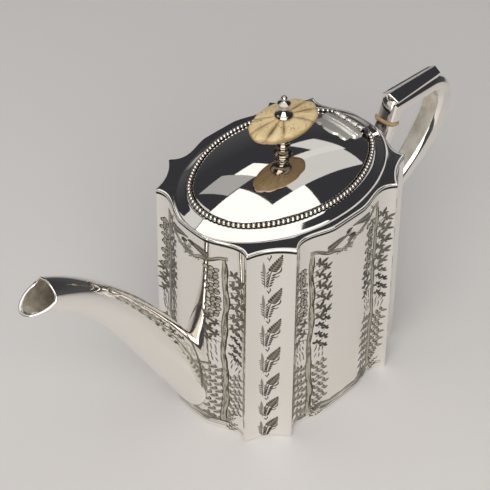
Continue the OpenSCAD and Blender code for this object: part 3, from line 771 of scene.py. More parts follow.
def seam_tube(name, base, ahead, lift, radius):
    """A thin fillet of solder round a joint; ahead is a ring just beyond the base ring."""
    up, aside = unit(ahead - base), unit(base - base.mean(0))
    rings = [base + lift * up + radius * (math.cos(b) * up + math.sin(b) * aside)
             for b in np.radians(np.linspace(0, 360, 8, endpoint=False))]
    shell(name, rings, ["worn_silver"], "pot", "silver")


def build_spout():
    (outer, first, last), (inner, first_in, last_in) = SPOUT_FACES
    tip = 1.2                                        # the last steps of the grid, kept for the lip
    out_rings = trimmed(outer, first, last - tip, 110)
    in_rings = trimmed(inner, first_in, last_in - tip, 90)
    # the mouth's lip: rounded, and a little thicker than the tube
    end_out = trimmed(outer, last - tip, last, 2)[1]
    end_in = trimmed(inner, last_in - tip, last_in, 2)[1]
    away = unit(end_out - end_in)
    ahead = unit(end_out - out_rings[-1])
    middle = (end_out + end_in) / 2 - 0.35 * ahead
    half = SHEET / 2 + 0.12
    lip = [middle + half * (math.cos(b) * away + 0.8 * math.sin(b) * ahead)
           for b in np.radians(np.linspace(-10, 190, 11))]
    rings = list(out_rings) + lip + list(in_rings[::-1])
    obj = shell("spout_looks", rings, ["silver", "mouth_silver"], "pot", "silver", ["spout"],
                sharp=60)
    inside = (len(out_rings) + len(lip)) * outer.shape[1]
    second_material(obj, np.arange(len(obj.data.polygons)) >= inside)
    at_wall, up = trimmed(outer, first, first + 6, 2)
    seam_tube("spout_seam", at_wall, up, 0.15, 0.32)


# ---------------------------------------------------------------- handle
def bar_section(t, w, f, soft=0.45, steps=3):
    """A flattened rectangle whose eight edges are softly rounded: [depth, width] pairs."""
    t, w = t / 2, w / 2
    corners = np.array([[-t + f, -w], [t - f, -w], [t, -w + f], [t, w - f],
                        [t - f, w], [-t + f, w], [-t, w - f], [-t, -w + f]])
    out = []
    for i, c in enumerate(corners):
        before, after = corners[i - 1], corners[(i + 1) % 8]
        a, b = c + soft * unit(before - c), c + soft * unit(after - c)
        for s in np.linspace(0, 1, steps):
            out.append((1 - s) ** 2 * a + 2 * (1 - s) * s * c + s * s * b)
    return np.array(out)


def sweep_rings(path, sections):
    """Sections set square to a path in the x-z plane, mitred at its corners."""
    path = np.asarray(path, float)
    seg = unit(np.diff(path, axis=0))
    s = np.vstack([seg[:1], seg]) + np.vstack([seg, seg[-1:]])
    across = np.stack([-s[:, 1], s[:, 0]], -1) * (2 / (s * s).sum(1))[:, None]
    rings = []
    for p, a, section in zip(path, across, sections):
        depth, width = section.T
        rings.append(np.column_stack([p[0] + depth * a[0], width, p[1] + depth * a[1]]))
    return np.array(rings)


def build_handle():
    start, corner = HANDLE_START, np.array([HANDLE_CORNER_X, BODY_H])
    end = LOWER_JOINT + INSULATOR_T / 2 * LOWER_DIR
    turn = bezier([[GRIP_BACK_X - CORNER_R, BODY_H], [GRIP_BACK_X - 0.4 * CORNER_R, BODY_H],
                   [GRIP_BACK_X, BODY_H - 0.4 * CORNER_R], [GRIP_BACK_X, BODY_H - CORNER_R]],
                  np.linspace(0, 1, 25))
    grip = bezier([[GRIP_BACK_X, BODY_H - CORNER_R], [GRIP_BACK_X - 0.6, BODY_H - 2.7 * CORNER_R],
                   end + 27 * LOWER_DIR, end + STRAIGHT_L * LOWER_DIR], np.linspace(0, 1, 61)[1:])
    # the swelling follows the CAD's: 8 steps round the corner, 16 down the grip
    share = np.concatenate([np.linspace(0, 8 / 24, 25), np.linspace(8 / 24, 1, 61)[1:]])
    extra = np.concatenate([[0, 0], GRIP_SWELL * np.sin(math.pi * share) ** 2, [0]])
    tip = bar_section(GRIP_T - 2 * END_ROUND, GRIP_W - 2 * END_ROUND, GRIP_FLAT)
    sections = [tip] + [bar_section(GRIP_T + e, GRIP_W + e, GRIP_FLAT) for e in extra] + [tip]
    path = np.vstack([start, start + END_ROUND * unit(corner - start), corner, turn, grip,
                      end + END_ROUND * unit(grip[-1] - end), end])
    obj = capped("handle_looks", sweep_rings(path, sections), ["silver", "grip_silver"],
                 "pot", "silver", ["handle"], sharp=BAR_SHARP)
    # the worn plating on the face that the fingers touch
    loop = Vector((RIM_END + 27, 0, BODY_H - 30)) * MM
    for face in obj.data.polygons:
        way = loop - face.center
        way.y = 0
        if abs(face.normal.y) < 0.25 and face.normal.dot(way.normalized()) > 0.25:
            face.material_index = 1


def build_sockets():
    """The two arms between the body and the insulators, with their solder."""
    root = np.array([RIM_END - 4, BODY_H - 37])
    socket_end = UPPER_JOINT - INSULATOR_T / 2 * UPPER_DIR
    curve = bezier([root, root + [8, 6], socket_end - 2 * STRAIGHT_L * UPPER_DIR,
                    socket_end - STRAIGHT_L * UPPER_DIR], np.linspace(0, 1, 40))
    lower_end = LOWER_JOINT - INSULATOR_T / 2 * LOWER_DIR
    arm = 22
    lower = np.array([lower_end - arm * LOWER_DIR + (arm * s) * LOWER_DIR
                      for s in np.linspace(0, 1, 30)])
    section = bar_section(GRIP_T, GRIP_W, GRIP_FLAT)
    tip = bar_section(GRIP_T - 2 * END_ROUND, GRIP_W - 2 * END_ROUND, GRIP_FLAT)
    for place, line in (("upper", np.vstack([curve, socket_end])), ("lower", lower)):
        # the arm starts just under the wall's outer face
        grid = sweep_rings(line, [section] * len(line))
        first = crossing(depth_in_body(grid) + 0.3, len(grid) - 2, -1)
        rings = trimmed(grid, first, np.full(grid.shape[1], len(grid) - 1.0), 44)
        way = unit(line[-1] - line[-2])
        back = rings[-1] - END_ROUND * np.array([way[0], 0, way[1]])
        rings = np.concatenate([rings[:-1], [back], sweep_rings(line[-2:], [tip] * 2)[1:]])
        name = place + "_socket"
        capped(name + "_looks", rings, ["silver"], "pot", "silver", [name], sharp=BAR_SHARP)
        seam_tube(name + "_seam", rings[0], rings[3], 0.4, 0.45)


def build_insulators():
    half = INSULATOR_T / 2 - 0.02
    layers = [(-half, -0.35), (-half + 0.12, -0.08), (-0.35 * half, 0.0), (0.35 * half, 0.0),
              (half - 0.12, -0.08), (half, -0.35)]
    thick, wide = GRIP_T + 2 * INSULATOR_PROUD, GRIP_W + 2 * INSULATOR_PROUD
    sections = [bar_section(thick + 2 * d, wide + 2 * d, GRIP_FLAT, 0.6, 4) for _, d in layers]
    for name, joint, way in (("upper_insulator", UPPER_JOINT, UPPER_DIR),
                             ("lower_insulator", LOWER_JOINT, LOWER_DIR)):
        rings = sweep_rings([joint + h * way for h, _ in layers], sections)
        capped(name + "_looks", rings, ["insulator"], "pot", "ivory", [name], sharp=60)


def build_tenon_pins():
    """Two pins through each insulator's tenons, their heads just proud of the bar's sides."""
    half, reach = GRIP_W / 2, GRIP_W / 2 + PIN_PROUD
    profile = [(0.01, -reach), (0.4, -reach + 0.01), (TENON_PIN_R, -half), (TENON_PIN_R, half),
               (0.4, reach - 0.01), (0.01, reach)]
    replaced = ["tenon_pins"]
    for name, joint, way in (("upper", UPPER_JOINT, UPPER_DIR), ("lower", LOWER_JOINT, LOWER_DIR)):
        for side, end in ((-1, "socket"), (1, "handle")):
            x, z = joint + side * (INSULATOR_T + TENON_L) / 2 * way
            lathe("tenon_pin_%s_%s" % (name, end), profile,
                  lambda p, x=x, z=z: np.stack([x + p[..., 0], p[..., 2], z - p[..., 1]], -1),
                  ["pin_silver"], "pot", "silver", replaced, segments=32, sharp=60)
            replaced = []


def build_thumb_rest():
    """A gabled plate with a notched front and hollowed slopes."""
    x0 = HANDLE_CORNER_X - GRIP_T / 2 + GRIP_FLAT / 2
    z0 = BODY_H + GRIP_T / 2 + 0.02
    gable, taper, notch, rows, cols = 3.2, 3, 1.5, 30, 15
    share = np.linspace(-1, 1, cols)
    top = []
    for i in range(rows):
        t = i / (rows - 1)
        half = (GRIP_W - taper * t) / 2
        ridge = THUMB_H - gable * abs(share) * half / (GRIP_W / 2)
        hollow = 0.32 * np.sin(math.pi * abs(share)) * smoothstep(t * 8) * smoothstep((1 - t) * 8)
        x = np.minimum(notch * abs(share) * (1 - t) + THUMB_L * t, THUMB_L)
        top.append(np.column_stack([x0 + x, half * share, z0 + ridge - hollow]))
    top = np.vstack(top)
    obj = slab("thumb_rest_looks", top, top * [1, 1, 0] + [0, 0, z0], cols, ["silver"],
               "pot", "silver", ["thumb_rest"])
    add_modifier(obj, "BEVEL", width=0.32 * MM, segments=3, limit_method="ANGLE",
                 angle_limit=math.radians(40))
    obj.data.shade_smooth()
    obj.data.set_sharp_from_angle(angle=math.radians(BAR_SHARP))


# ---------------------------------------------------------------- hinge
def lathe(name, profile, place, *args, segments=72, **kwargs):
    """Turns a profile of (radius, height) pairs; place maps (x, y, height) to the row frame."""
    a = 2 * math.pi * np.arange(segments) / segments
    rings = []
    for r, h in profile:
        r = max(r, 0.004)
        rings.append(place(np.column_stack([r * np.cos(a), r * np.sin(a), np.full(segments, h)])))
    return capped(name, rings, *args, **kwargs)


def along_hinge(p):
    return np.column_stack([HINGE_X + p[:, 0], p[:, 2], HINGE_Z + p[:, 1]])


def knuckle_span(i):
    """Where knuckle i begins and ends, clear of its neighbours."""
    y0 = -HINGE_L / 2 + i * KNUCKLE_L + KNUCKLE_GAP / 2
    return y0, y0 + KNUCKLE_L - KNUCKLE_GAP


def hinge_web(name, i, loop, metal, body):
    """A plate as wide as knuckle i; loop is its outline seen from the side."""
    rings = [[(x, y, z) for x, z in loop] for y in knuckle_span(i)]
    capped(name, rings, [metal], body, "silver", sharp=30)


def build_barrel():
    r, soft, fine = BARREL_R, 0.22, 0.06
    for i in range(KNUCKLES):
        y0, y1 = knuckle_span(i)
        profile = [(r - 0.5, y0), (r - soft, y0), (r - fine, y0 + fine), (r, y0 + soft),
                   (r, (y0 + y1) / 2), (r, y1 - soft), (r - fine, y1 - fine), (r - soft, y1),
                   (r - 0.5, y1)]
        metal, body = ("leaf_silver", "lid_unit") if i % 2 else ("silver", "pot")
        lathe("hinge_knuckle_%d" % i, profile, along_hinge, [metal], body, "silver",
              segments=48, sharp=40)


def build_body_leaf():
    """A bevelled plate on the land, behind the barrel, and webs up to the body's knuckles."""
    half, soft = HINGE_L / 2, 0.3
    y = np.linspace(-half, half, 41)
    back = oval_point(np.arcsin(np.clip(y / (RING_R1 + BEAD_R), -1, 1)), BEAD_R)[:, 0]
    front = np.full(len(y), HINGE_X - BARREL_R)
    rings = []
    for d, z in ((0.0, LAND_Z + 0.02), (0.0, LAND_Z + LEAF_T - soft), (soft, LAND_Z + LEAF_T)):
        yy = np.clip(y, -half + d, half - d)
        rings.append(np.vstack([ring_at(np.column_stack([back - d, yy]), z),
                                ring_at(np.column_stack([front + d, yy]), z)[::-1]]))
    capped("hinge_body_leaf_looks", rings, ["silver"], "pot", "silver", ["hinge_body_leaf"],
           sharp=30)
    top = LAND_Z + LEAF_T
    loop = [(HINGE_X + 0.1, top - 0.1), (HINGE_X + BARREL_R + 0.5, top - 0.1),
            (HINGE_X + BARREL_R - 0.05, top + 0.6), (HINGE_X + BARREL_R - 0.1, HINGE_Z),
            (HINGE_X + 0.1, HINGE_Z)]
    for i in range(0, KNUCKLES, 2):
        hinge_web("hinge_web_%d" % i, i, loop, "silver", "pot")


def build_lid_leaf():
    """Raised bar, two steps and a thin plate with a scrolled outline, all following the dome."""
    length, half_w, soft = 12.0, 11.0, 0.35

    def thickness(d):
        """The leaf's thickness, d mm from the lid's straight end."""
        bar = smoothstep((3.3 - d) / 0.45)
        cove = 0.55 * smoothstep((6.0 - d) / 2.2) * (d > 3.0)
        return 0.6 + max(bar, cove)

    def side(d):
        """Half the width, drawn in to a waist and out again."""
        q = d / length
        return half_w - 1.5 * smoothstep((q - 0.26) * 5) + 0.5 * math.exp(-((q - 0.72) / 0.12) ** 2)

    def front_d(v):
        """How far the front edge reaches, v from -1 to 1 across."""
        notch = math.exp(-((abs(v) - 0.55) / 0.16) ** 2)
        corner = max(0.0, abs(v) - 0.6) ** 1.5
        return length - 0.3 - 1.1 * notch - 2.2 * corner - 0.8 * (1 - math.cos(v * 2.2))

    rows, cols = 64, 49
    top, base = [], []
    for i in range(rows):
        s = i / (rows - 1)
        for j in range(cols):
            v = 2 * j / (cols - 1) - 1
            d = s * front_d(v)
            x, y = LID_END_X - d, side(d) * v
            z = dome_z(x, y)
            edge = min(1.0, (1 - s) * front_d(v) / soft, (1 - abs(v)) * half_w / soft)
            rounded = 0.55 + 0.45 * math.sqrt(max(0.0, 1 - (1 - edge) ** 2))
            top.append((x, y, z + 0.03 + thickness(d) * rounded))
            base.append((x, y, z + 0.02))
    slab("hinge_lid_leaf_looks", top, base, cols, ["leaf_silver"], "lid_unit", "silver",
         ["hinge_lid_leaf"], sharp=55)
    loop = [(LID_END_X - 1.0, HINGE_Z - 0.75), (HINGE_X - 0.1, HINGE_Z - 0.75),
            (HINGE_X - 0.1, HINGE_Z + 0.95), (LID_END_X - 1.0, HINGE_Z + 0.6)]
    for i in range(1, KNUCKLES, 2):
        hinge_web("hinge_lid_web_%d" % i, i, loop, "worn_silver", "lid_unit")


# ---------------------------------------------------------------- lid and knob
def build_lid():
    segments = 384
    phi = 2 * math.pi * (np.arange(segments) + 0.5) / segments
    phi = np.where(phi > math.pi, phi - 2 * math.pi, phi)
    reach = cut_straight(oval_radius(phi, LID_OFF), phi, LID_END_X)
    way = np.stack([np.cos(phi), np.sin(phi)], -1)

    def ring(radius, raised, drop=0.0):
        xy = way * np.broadcast_to(radius, segments)[:, None]
        return ring_at(xy, dome_z(xy[:, 0], xy[:, 1], raised) - drop)

    hole = STUD_R + 0.05
    soft = 0.3
    rings = [ring(hole, 0.0)]
    rings += [ring(hole + (reach - soft - hole) * t, 0.0) for t in np.linspace(0, 1, 60)[1:]]
    for b in np.radians((22, 45, 68, 90)):
        rings.append(ring(reach - soft + soft * math.sin(b), 0.0, soft * (1 - math.cos(b))))
    rings.append(ring(reach, 0.0, LID_SHEET - 0.1))
    rings.append(ring(reach - 0.1, 0.0, LID_SHEET))
    outer_rows = len(rings)
    rings += [ring(hole + (reach - 0.2 - hole) * t, -LID_SHEET) for t in np.linspace(1, 0, 16)]
    obj = shell("lid_looks", rings, ["lid_silver", "inner_silver"], "lid_unit", "silver", ["lid"],
                sharp=50)
    second_material(obj, np.arange(len(obj.data.polygons)) >= outer_rows * segments)


KNOB_RIM_RISE = 1.5                 # how far the knob's widest line lies above its middle
KNOB_GROOVES = np.radians([11, 49, 137, 170, 199, 228, 311, 346])
KNOB_GROOVE_DEPTH = [0.7, 0.9, 0.8, 0.75, 1.0, 0.8, 1.0, 0.9]


def build_knob():
    rows, cols = 90, 288
    a = 2 * math.pi * np.arange(cols) / cols
    cut, smudge, puff = np.zeros(cols), np.zeros(cols), np.ones(cols)
    # angles are true directions on the knob, so they are taken after the squash
    true = np.arctan2(KNOB_W * np.sin(a), KNOB_L * np.cos(a))
    for at, depth in zip(KNOB_GROOVES, KNOB_GROOVE_DEPTH):
        off = np.abs((true - at + math.pi) % (2 * math.pi) - math.pi)
        cut = np.maximum(cut, depth * np.exp(-(off / 0.055) ** 2))
        smudge = np.maximum(smudge, 0.50 * depth * np.exp(-(off / 0.16) ** 2))
        puff = np.minimum(puff, np.sqrt(np.clip(off / 0.30, 0, 1)))
    verts, groove_stain_and_underside_shade, rim = [], [], []
    for i in range(rows):
        lat = -math.pi / 2 + math.pi * (i + 0.5) / rows
        flat, high = math.cos(lat), math.sin(lat)
        flat = flat ** 0.80 if flat > 0 else 0
        window = math.exp(-((flat - 0.62) / 0.36) ** 2)      # grooves fade at the seat and the rim
        under = smoothstep(high * 3 + 1.2)
        lift = 1 - 0.20 * (1 - puff) * smoothstep(flat * 1.6)
        scallop = 1 - 0.075 * (1 - puff) * under
        sunk = 0.75 * cut * window * under
        x = KNOB_L / 2 * flat * np.cos(a) * scallop
        y = 0.95 * KNOB_W / 2 * flat * np.sin(a) * scallop
        z = (KNOB_MID_Z + (KNOB_T / 2 * high) * lift - np.sign(high) * sunk
             + KNOB_RIM_RISE * flat ** 4)
        verts.append(np.column_stack([x, y, z]))
        # painted shade: the knob's lower half darkened, where it faces the lid
        underside_shade = 0.62 * smoothstep(-high * 3 + 0.2)
        line = np.clip(cut * window * 1.25 * under, 0, 1) * 0.9
        groove_stain_and_underside_shade.append(np.maximum(np.maximum(line, smudge * window * under), underside_shade))
        rim.append(np.full(cols, 0.75 * math.exp(-(high / 0.28) ** 2)))
    rings = np.array(verts)
    rings[..., 2] = np.clip(rings[..., 2], KNOB_Z + 0.02, FINIAL_Z - 0.02)
    obj = capped("knob_looks", rings, ["ivory"], "lid_unit", "ivory", ["knob"])
    tag(obj, "groove_stain_and_underside_shade", np.concatenate(groove_stain_and_underside_shade))
    tag(obj, "rim", np.concatenate(rim))


def build_turned():
    """The baluster under the knob and the nut on top of it."""
    h, r = STEM_H, STUD_R
    stem = [(r + 0.05, 0.02), (r + 2.5, 0.02), (r + 2.6, 0.25), (r + 2.6, 0.75), (r + 2.4, 0.95)]
    stem += catmull([(r + 1.6, 1.35), (r + 1.2, 0.24 * h), (r + 1.75, 0.33 * h),
                     (r + 1.85, 0.38 * h), (r + 1.7, 0.43 * h), (r + 1.0, 0.52 * h),
                     (r + 1.1, 0.62 * h), (r + 1.9, 0.76 * h), (r + 3.5, 0.89 * h),
                     (r + 4.3, 0.955 * h)], 6)
    stem += [(r + 4.4, 0.97 * h), (r + 4.4, h - 0.15), (r + 4.2, h - 0.02), (r + 0.05, h - 0.02)]
    h = FINIAL_H
    top = [(r, 0.02), (4.0, 0.02), (4.25, 0.2), (4.25, 0.05 * h), (4.1, 0.085 * h)]
    top += catmull([(3.75, 0.12 * h), (3.05, 0.18 * h), (2.35, 0.27 * h), (1.9, 0.36 * h),
                    (1.7, 0.44 * h), (1.75, 0.5 * h)], 5)
    top += [(2.5, 0.53 * h), (2.9, 0.56 * h), (3.0, 0.6 * h), (2.9, 0.645 * h), (2.5, 0.67 * h)]
    top += catmull([(1.6, 0.72 * h), (1.0, 0.77 * h), (1.45, 0.83 * h), (1.5, 0.88 * h),
                    (1.25, 0.94 * h), (0.7, 0.985 * h), (0.05, h)], 5)
    for node_name, profile, z, metal in (("knob_stem", stem, LID_TOP_Z, "stem_silver"),
                                         ("knob_finial", top, FINIAL_Z, "finial_silver")):
        lathe(node_name + "_looks", profile, lambda p, z=z: p + [0, 0, z], [metal],
              "lid_unit", "silver", [node_name], sharp=35)


# ---------------------------------------------------------------- engraving
class Engraver:
    """Collects thin cuts in flat coordinates, s along and z up, and lays them on a surface."""

    def __init__(self, surface, seed):
        self.surface = surface
        self.random = random.Random(seed)
        self.verts, self.faces, self.tones = [], [], []
        self.count = 0

    def stroke(self, points, width, tone=0.2, blunt=0.12, lift=0.05):
        p = np.asarray(points, float)
        way = np.gradient(p, axis=0)
        way /= np.linalg.norm(way, axis=1, keepdims=True) + 1e-9
        side = np.stack([-way[:, 1], way[:, 0]], -1)
        share = np.linspace(0, 1, len(p))
        half = np.asarray(width) / 2 * np.maximum(np.sin(math.pi * share) ** 0.7, blunt)
        half = half[:, None]
        pair = np.concatenate([p + half * side, p - half * side])
        n = len(p)
        self.verts.append(self.surface(pair[:, 0], pair[:, 1], lift))
        for i in range(self.count, self.count + n - 1):
            self.faces.append((i + 1, i, n + i, n + i + 1))
        self.tones.append(np.full(2 * n, np.clip(tone + self.random.uniform(-0.08, 0.08), 0, 1)))
        self.count += 2 * n

    def line(self, a, b, bend=0.0, width=0.4, tone=0.2, steps=6, blunt=0.12):
        a, b = np.asarray(a, float), np.asarray(b, float)
        t = np.linspace(0, 1, steps)[:, None]
        side = np.array([-(b - a)[1], (b - a)[0]])
        self.stroke(a + (b - a) * t + side * bend * 4 * t * (1 - t), width, tone, blunt)

    def dart(self, at, angle, length, width, tone=0.1, bend=0.0):
        """One filled pointed leaf."""
        a = np.asarray(at, float)
        self.line(a, a + length * heading(angle)[0], bend, width, tone, 7, 0.03)

    def hatched_leaf(self, at, angle, length, width, tone=0.08, cuts=9, bend=0.08, stem=0.0):
        """A leaf of bold slanting cuts on both sides of a bare midrib."""
        a = np.asarray(at, float)
        way, side = heading(angle)

        def mid(q):
            return a + way * length * q + side * bend * length * 4 * q * (1 - q)

        def profile(q):
            return np.sin(math.pi * (0.2 + 0.8 * q) ** 0.62)

        if stem:
            self.line(a - stem * way, mid(0.15), 0.0, 0.4, tone + 0.1)
        # the toned ground of the leaf, in narrow strips that follow a hollow surface
        q = np.linspace(0.06, 0.97, 14)
        spine = np.array([mid(v) for v in q])
        for k in (-0.72, -0.36, 0.0, 0.36, 0.72):
            strip = spine + side * k * (width / 2 * profile(q))[:, None]
            self.stroke(strip, 0.2 * width * profile(q), 0.5, 1.0, 0.036)
        for i in range(cuts):
            q = (i + 0.4) / cuts
            reach = width / 2 * profile(q)
            for s in (-1, 1):
                root = mid(q) + side * s * 0.14
                end = root + side * s * reach + way * reach * 0.7
                self.line(root, end, 0.08 * s, 0.66 * length / cuts, tone + 0.1 * (s < 0), 5)
        self.line(mid(0.84), mid(1.0) + way * 0.1, 0, 0.7, tone, 4, 0.03)

    def fern(self, at, angle, length, size, tone=0.25, pairs=6, bend=0.12, width=0.42):
        """A curved stalk with pairs of small leaves."""
        a = np.asarray(at, float)
        way, side = heading(angle)
        self.line(a, a + way * length, bend, 0.34, tone, 8)
        for i in range(pairs):
            q = (i + 0.7) / pairs
            root = a + way * length * q + side * bend * length * 4 * q * (1 - q)
            leaf = size * (math.sin(math.pi * (0.25 + 0.7 * q)) ** 0.8)
            for s in (-1, 1):
                turn = angle + s * math.radians(56 - 16 * q) + self.random.uniform(-0.12, 0.12)
                self.dart(root, turn, leaf, width, tone + 0.08 * s, -0.12 * s)

    def berry(self, at, r, tone=0.08):
        """A pale disc inside a ring that is thicker on one side."""
        c = np.asarray(at, float)
        self.line(c - [0, r], c + [0, r], 0.0, 1.7 * r, 0.9, 6, 0.3)
        turn = self.random.uniform(0.6, 2.2)
        for start, width in ((0.0, 0.68), (math.pi, 0.42)):
            b = turn + start + np.linspace(-0.2, math.pi + 0.2, 8)
            self.stroke(c + r * np.column_stack([np.cos(b), np.sin(b)]), width, tone, 0.4, 0.06)

    def curl(self, at, angle, length, width, tone=0.15):
        """A small leaf in outline, with one shaded side."""
        a = np.asarray(at, float)
        way, side = heading(angle)
        self.line(a, a + way * length, 0, width, 0.7, 7, 0.03)
        t = np.linspace(0, 1, 7)[:, None]
        edge = a + way * length * t - side * width * 0.42 * np.sin(math.pi * t ** 0.8)
        self.stroke(edge, 0.62, tone, 0.2, 0.07)

    def ivy(self, at, angle, size, tone=0.04):
        """Five pointed lobes with dark midribs."""
        for turn, reach, wide in ((0, 1.0, 0.38), (58, 0.80, 0.34), (-58, 0.80, 0.34),
                                  (118, 0.5, 0.3), (-118, 0.5, 0.3)):
            bend = 0.06 if turn > 0 else -0.06
            way = angle + math.radians(turn) + self.random.uniform(-0.1, 0.1)
            self.dart(at, way, size * reach, size * wide, tone + 0.2, bend)
            self.dart(at, way, size * reach * 0.95, size * 0.15, tone, bend)

    def cluster(self, at, angle, size, tone=0.08):
        """A leaf of round lobes."""
        c = np.asarray(at, float)
        for turn in (-78, -26, 26, 78):
            way = heading(angle + math.radians(turn))[0]
            self.line(c + 0.15 * size * way, c + size * way, 0, 0.5 * size, tone, 7)
        self.line(c - 0.5 * size * heading(angle)[0], c, 0, 0.34, tone + 0.1)

    def trunk(self, s0, z0, z1, wide):
        """A tree trunk: a toned band with ragged dark edges and long shading cuts."""
        z = np.linspace(z0, z1, 70)
        middle = s0 + 0.5 * np.sin(z / 9.0 + s0) + 0.25 * np.sin(z / 3.3 + 1)
        half = wide / 2 * (1 - 0.28 * (z - z0) / (z1 - z0)) * (1 + 0.14 * np.sin(z / 2.6))
        half *= 1 - 0.35 * np.exp(-((z - z0 - 0.45 * (z1 - z0)) / 4) ** 2)
        self.stroke(np.column_stack([middle, z]), 2 * half, 0.92, 1.0, 0.03)
        for k in (-1, 1):
            edge = middle + k * (half - 0.08)
            for i in range(0, 64, 6):
                self.stroke(np.column_stack([edge[i:i + 8], z[i:i + 8]]), 0.5 if k < 0 else 0.7,
                            0.25 if k < 0 else 0.05, 0.4, 0.06)
        for i in range(70):
            low = self.random.uniform(z0, z1 - 5)
            share = self.random.uniform(-0.8, 0.9)
            zz = np.linspace(low, min(z1, low + self.random.uniform(2.0, 6.0)), 6)
            ss = np.interp(zz, z, middle) + share * np.interp(zz, z, half)
            self.stroke(np.column_stack([ss, zz]), 0.48, 0.1 + 0.25 * (share < 0.2), 0.15, 0.06)
        return lambda at: float(np.interp(at, z, middle))

    def foliage(self, middle, side, z0, z1, reach, kinds):
        """Leaves on one side of a trunk, in bands of one kind each, from the top down."""
        jitter = self.random.uniform
        up = math.pi / 2
        z, place = z1, 0
        for kind, share in kinds:
            low = z - share * (z1 - z0)
            while z > low:
                s = middle(z)
                place += 1
                odd = place % 2
                if kind == "berries":
                    for d in (0.28, 0.62, 0.95)[:2 + odd]:
                        at = (s + side * (1.4 + d * (reach - 1.4)) + jitter(-0.4, 0.4),
                              z + jitter(-0.7, 0.7))
                        self.berry(at, jitter(0.9, 1.25), jitter(0.0, 0.15))
                    z -= 2.3
                elif kind == "ivy":
                    d = (0.36 if odd else 0.72) * reach
                    at = (s + side * (0.8 + d), z + jitter(-0.4, 0.4))
                    self.line((s, z - 2.2), at, 0.1 * side, 0.3, 0.2)
                    self.ivy(at, up - side * jitter(0.3, 1.1), jitter(3.7, 4.6))
                    z -= 3.3
                elif kind == "cluster":
                    d = (0.4 if odd else 0.74) * reach
                    self.cluster((s + side * (0.6 + d), z), up - side * jitter(0.3, 0.9),
                                 jitter(2.3, 2.9))
                    z -= 2.8
                elif kind == "willow":
                    for d in (0.3, 0.6, 0.85):
                        self.dart((s + side * (0.6 + d * reach * 0.8), z + jitter(-0.8, 0.8)),
                                  up - side * jitter(0.1, 0.4), jitter(3.2, 4.6), 0.55,
                                  jitter(0.15, 0.5))
                    z -= 3.6
                elif kind == "curls":
                    stem = np.array((s + side * 0.9, z - 3.4))
                    end = np.array((s + side * (reach - 0.6), z + 0.4))
                    self.line(stem, end, 0.12 * side, 0.32, 0.25)
                    for q in (0.15, 0.5, 0.85):
                        for k in (-1, 1):
                            self.curl(stem + (end - stem) * q, up - side * 0.75 + k * side * 0.8,
                                      jitter(2.4, 3.1), 1.5, jitter(0.05, 0.25))
                    z -= 4.9
                else:
                    self.fern((s + side * 0.8, z - 2.6), up - side * jitter(0.6, 0.95),
                              reach * 0.98, 1.9, 0.25, 5, 0.08 * side, 0.55)
                    z -= 3.2

    def spray(self, s0, z0, side, length):
        """From a trunk's top, under the rim: a bare branch, one large leaf and lighter fronds."""
        def at(run, dz=0.0):
            return np.array([s0 + side * run, z0 - 0.34 * min(run, 15.0) + dz])

        way = math.pi / 2 - side * math.pi / 2
        run = np.linspace(-1.2, 16.0, 22)
        branch = np.array([at(r, 0.35 * math.sin(r * 0.7)) for r in run])
        self.stroke(branch, np.linspace(2.2, 0.9, 22), 0.95, 1.0, 0.034)
        self.stroke(branch + [0, -0.85], 0.6, 0.1, 0.3, 0.06)
        self.stroke(branch + [0, 0.8], 0.42, 0.25, 0.3, 0.06)
        for _ in range(8):
            k = self.random.randrange(0, 14)
            self.stroke(branch[k:k + 7] + [0, self.random.uniform(-0.6, 0.6)], 0.4, 0.35, 0.2, 0.06)
        self.hatched_leaf(at(6.5, 1.2), way + side * 0.16, 13.0, 3.9, 0.02, 13, 0.05 * side)
        self.fern(at(11, -2.0), way - side * 0.10, 11.0, 1.5, 0.5, 8, 0.04 * side, 0.4)
        end = max(length, 22.0)
        self.line(at(15, 0), at(end, 2.0), 0.03 * side, 0.36, 0.3, 12)
        self.fern(at(16, -0.5), way + side * 0.02, end - 16.0, 2.0, 0.45, 7, 0.04 * side)
        for q in (0.25, 0.6, 0.95):
            r = 20.0 + (end - 20.0) * q
            self.cluster(at(r, 4.4), way + side * 0.9, 1.7)
            self.line(at(r - 1.5, 0.6), at(r, 4.2), 0.1, 0.34, 0.3)
        for q in (0.3, 0.7):
            self.dart(at(14 + (end - 14.0) * q, -1.6), way - side * 0.5, 2.8, 0.6, 0.4)

    def ground(self, s0, s1, z0):
        """Low plants lying along the base, from a trunk to the middle of the panel."""
        side = 1 if s1 > s0 else -1
        way = math.pi / 2 - side * math.pi / 2
        reach = abs(s1 - s0)

        def at(run, dz):
            return s0 + side * run, z0 + dz

        self.line(at(-4, -0.4), at(6, -0.2), 0.03, 0.8, 0.1, 14)
        self.line(at(-3, -1.3), at(9, -0.9), -0.02, 0.5, 0.3, 14)
        for k in range(3):
            self.line(at(3 + 2 * k, -1.5 + 1.1 * k), (s1, z0 - 2.2 + 1.3 * k), 0.03 * side, 0.46,
                      0.35, 20)
        self.hatched_leaf(at(3, 0.6), way + side * 0.10, reach * 0.42, 2.4, 0.35, 11, 0.06 * side)
        self.hatched_leaf(at(6, -1.6), way + side * 0.02, reach * 0.40, 2.0, 0.3, 11, -0.05 * side)
        self.fern(at(3 + reach * 0.4, 0.6), way - side * 0.05, reach * 0.5, 1.6, 0.45, 10,
                  0.05 * side, 0.44)

    def sprig(self, top, scale):
        """One sprig of the column on a flute."""
        def z(drop):
            return top - drop * scale

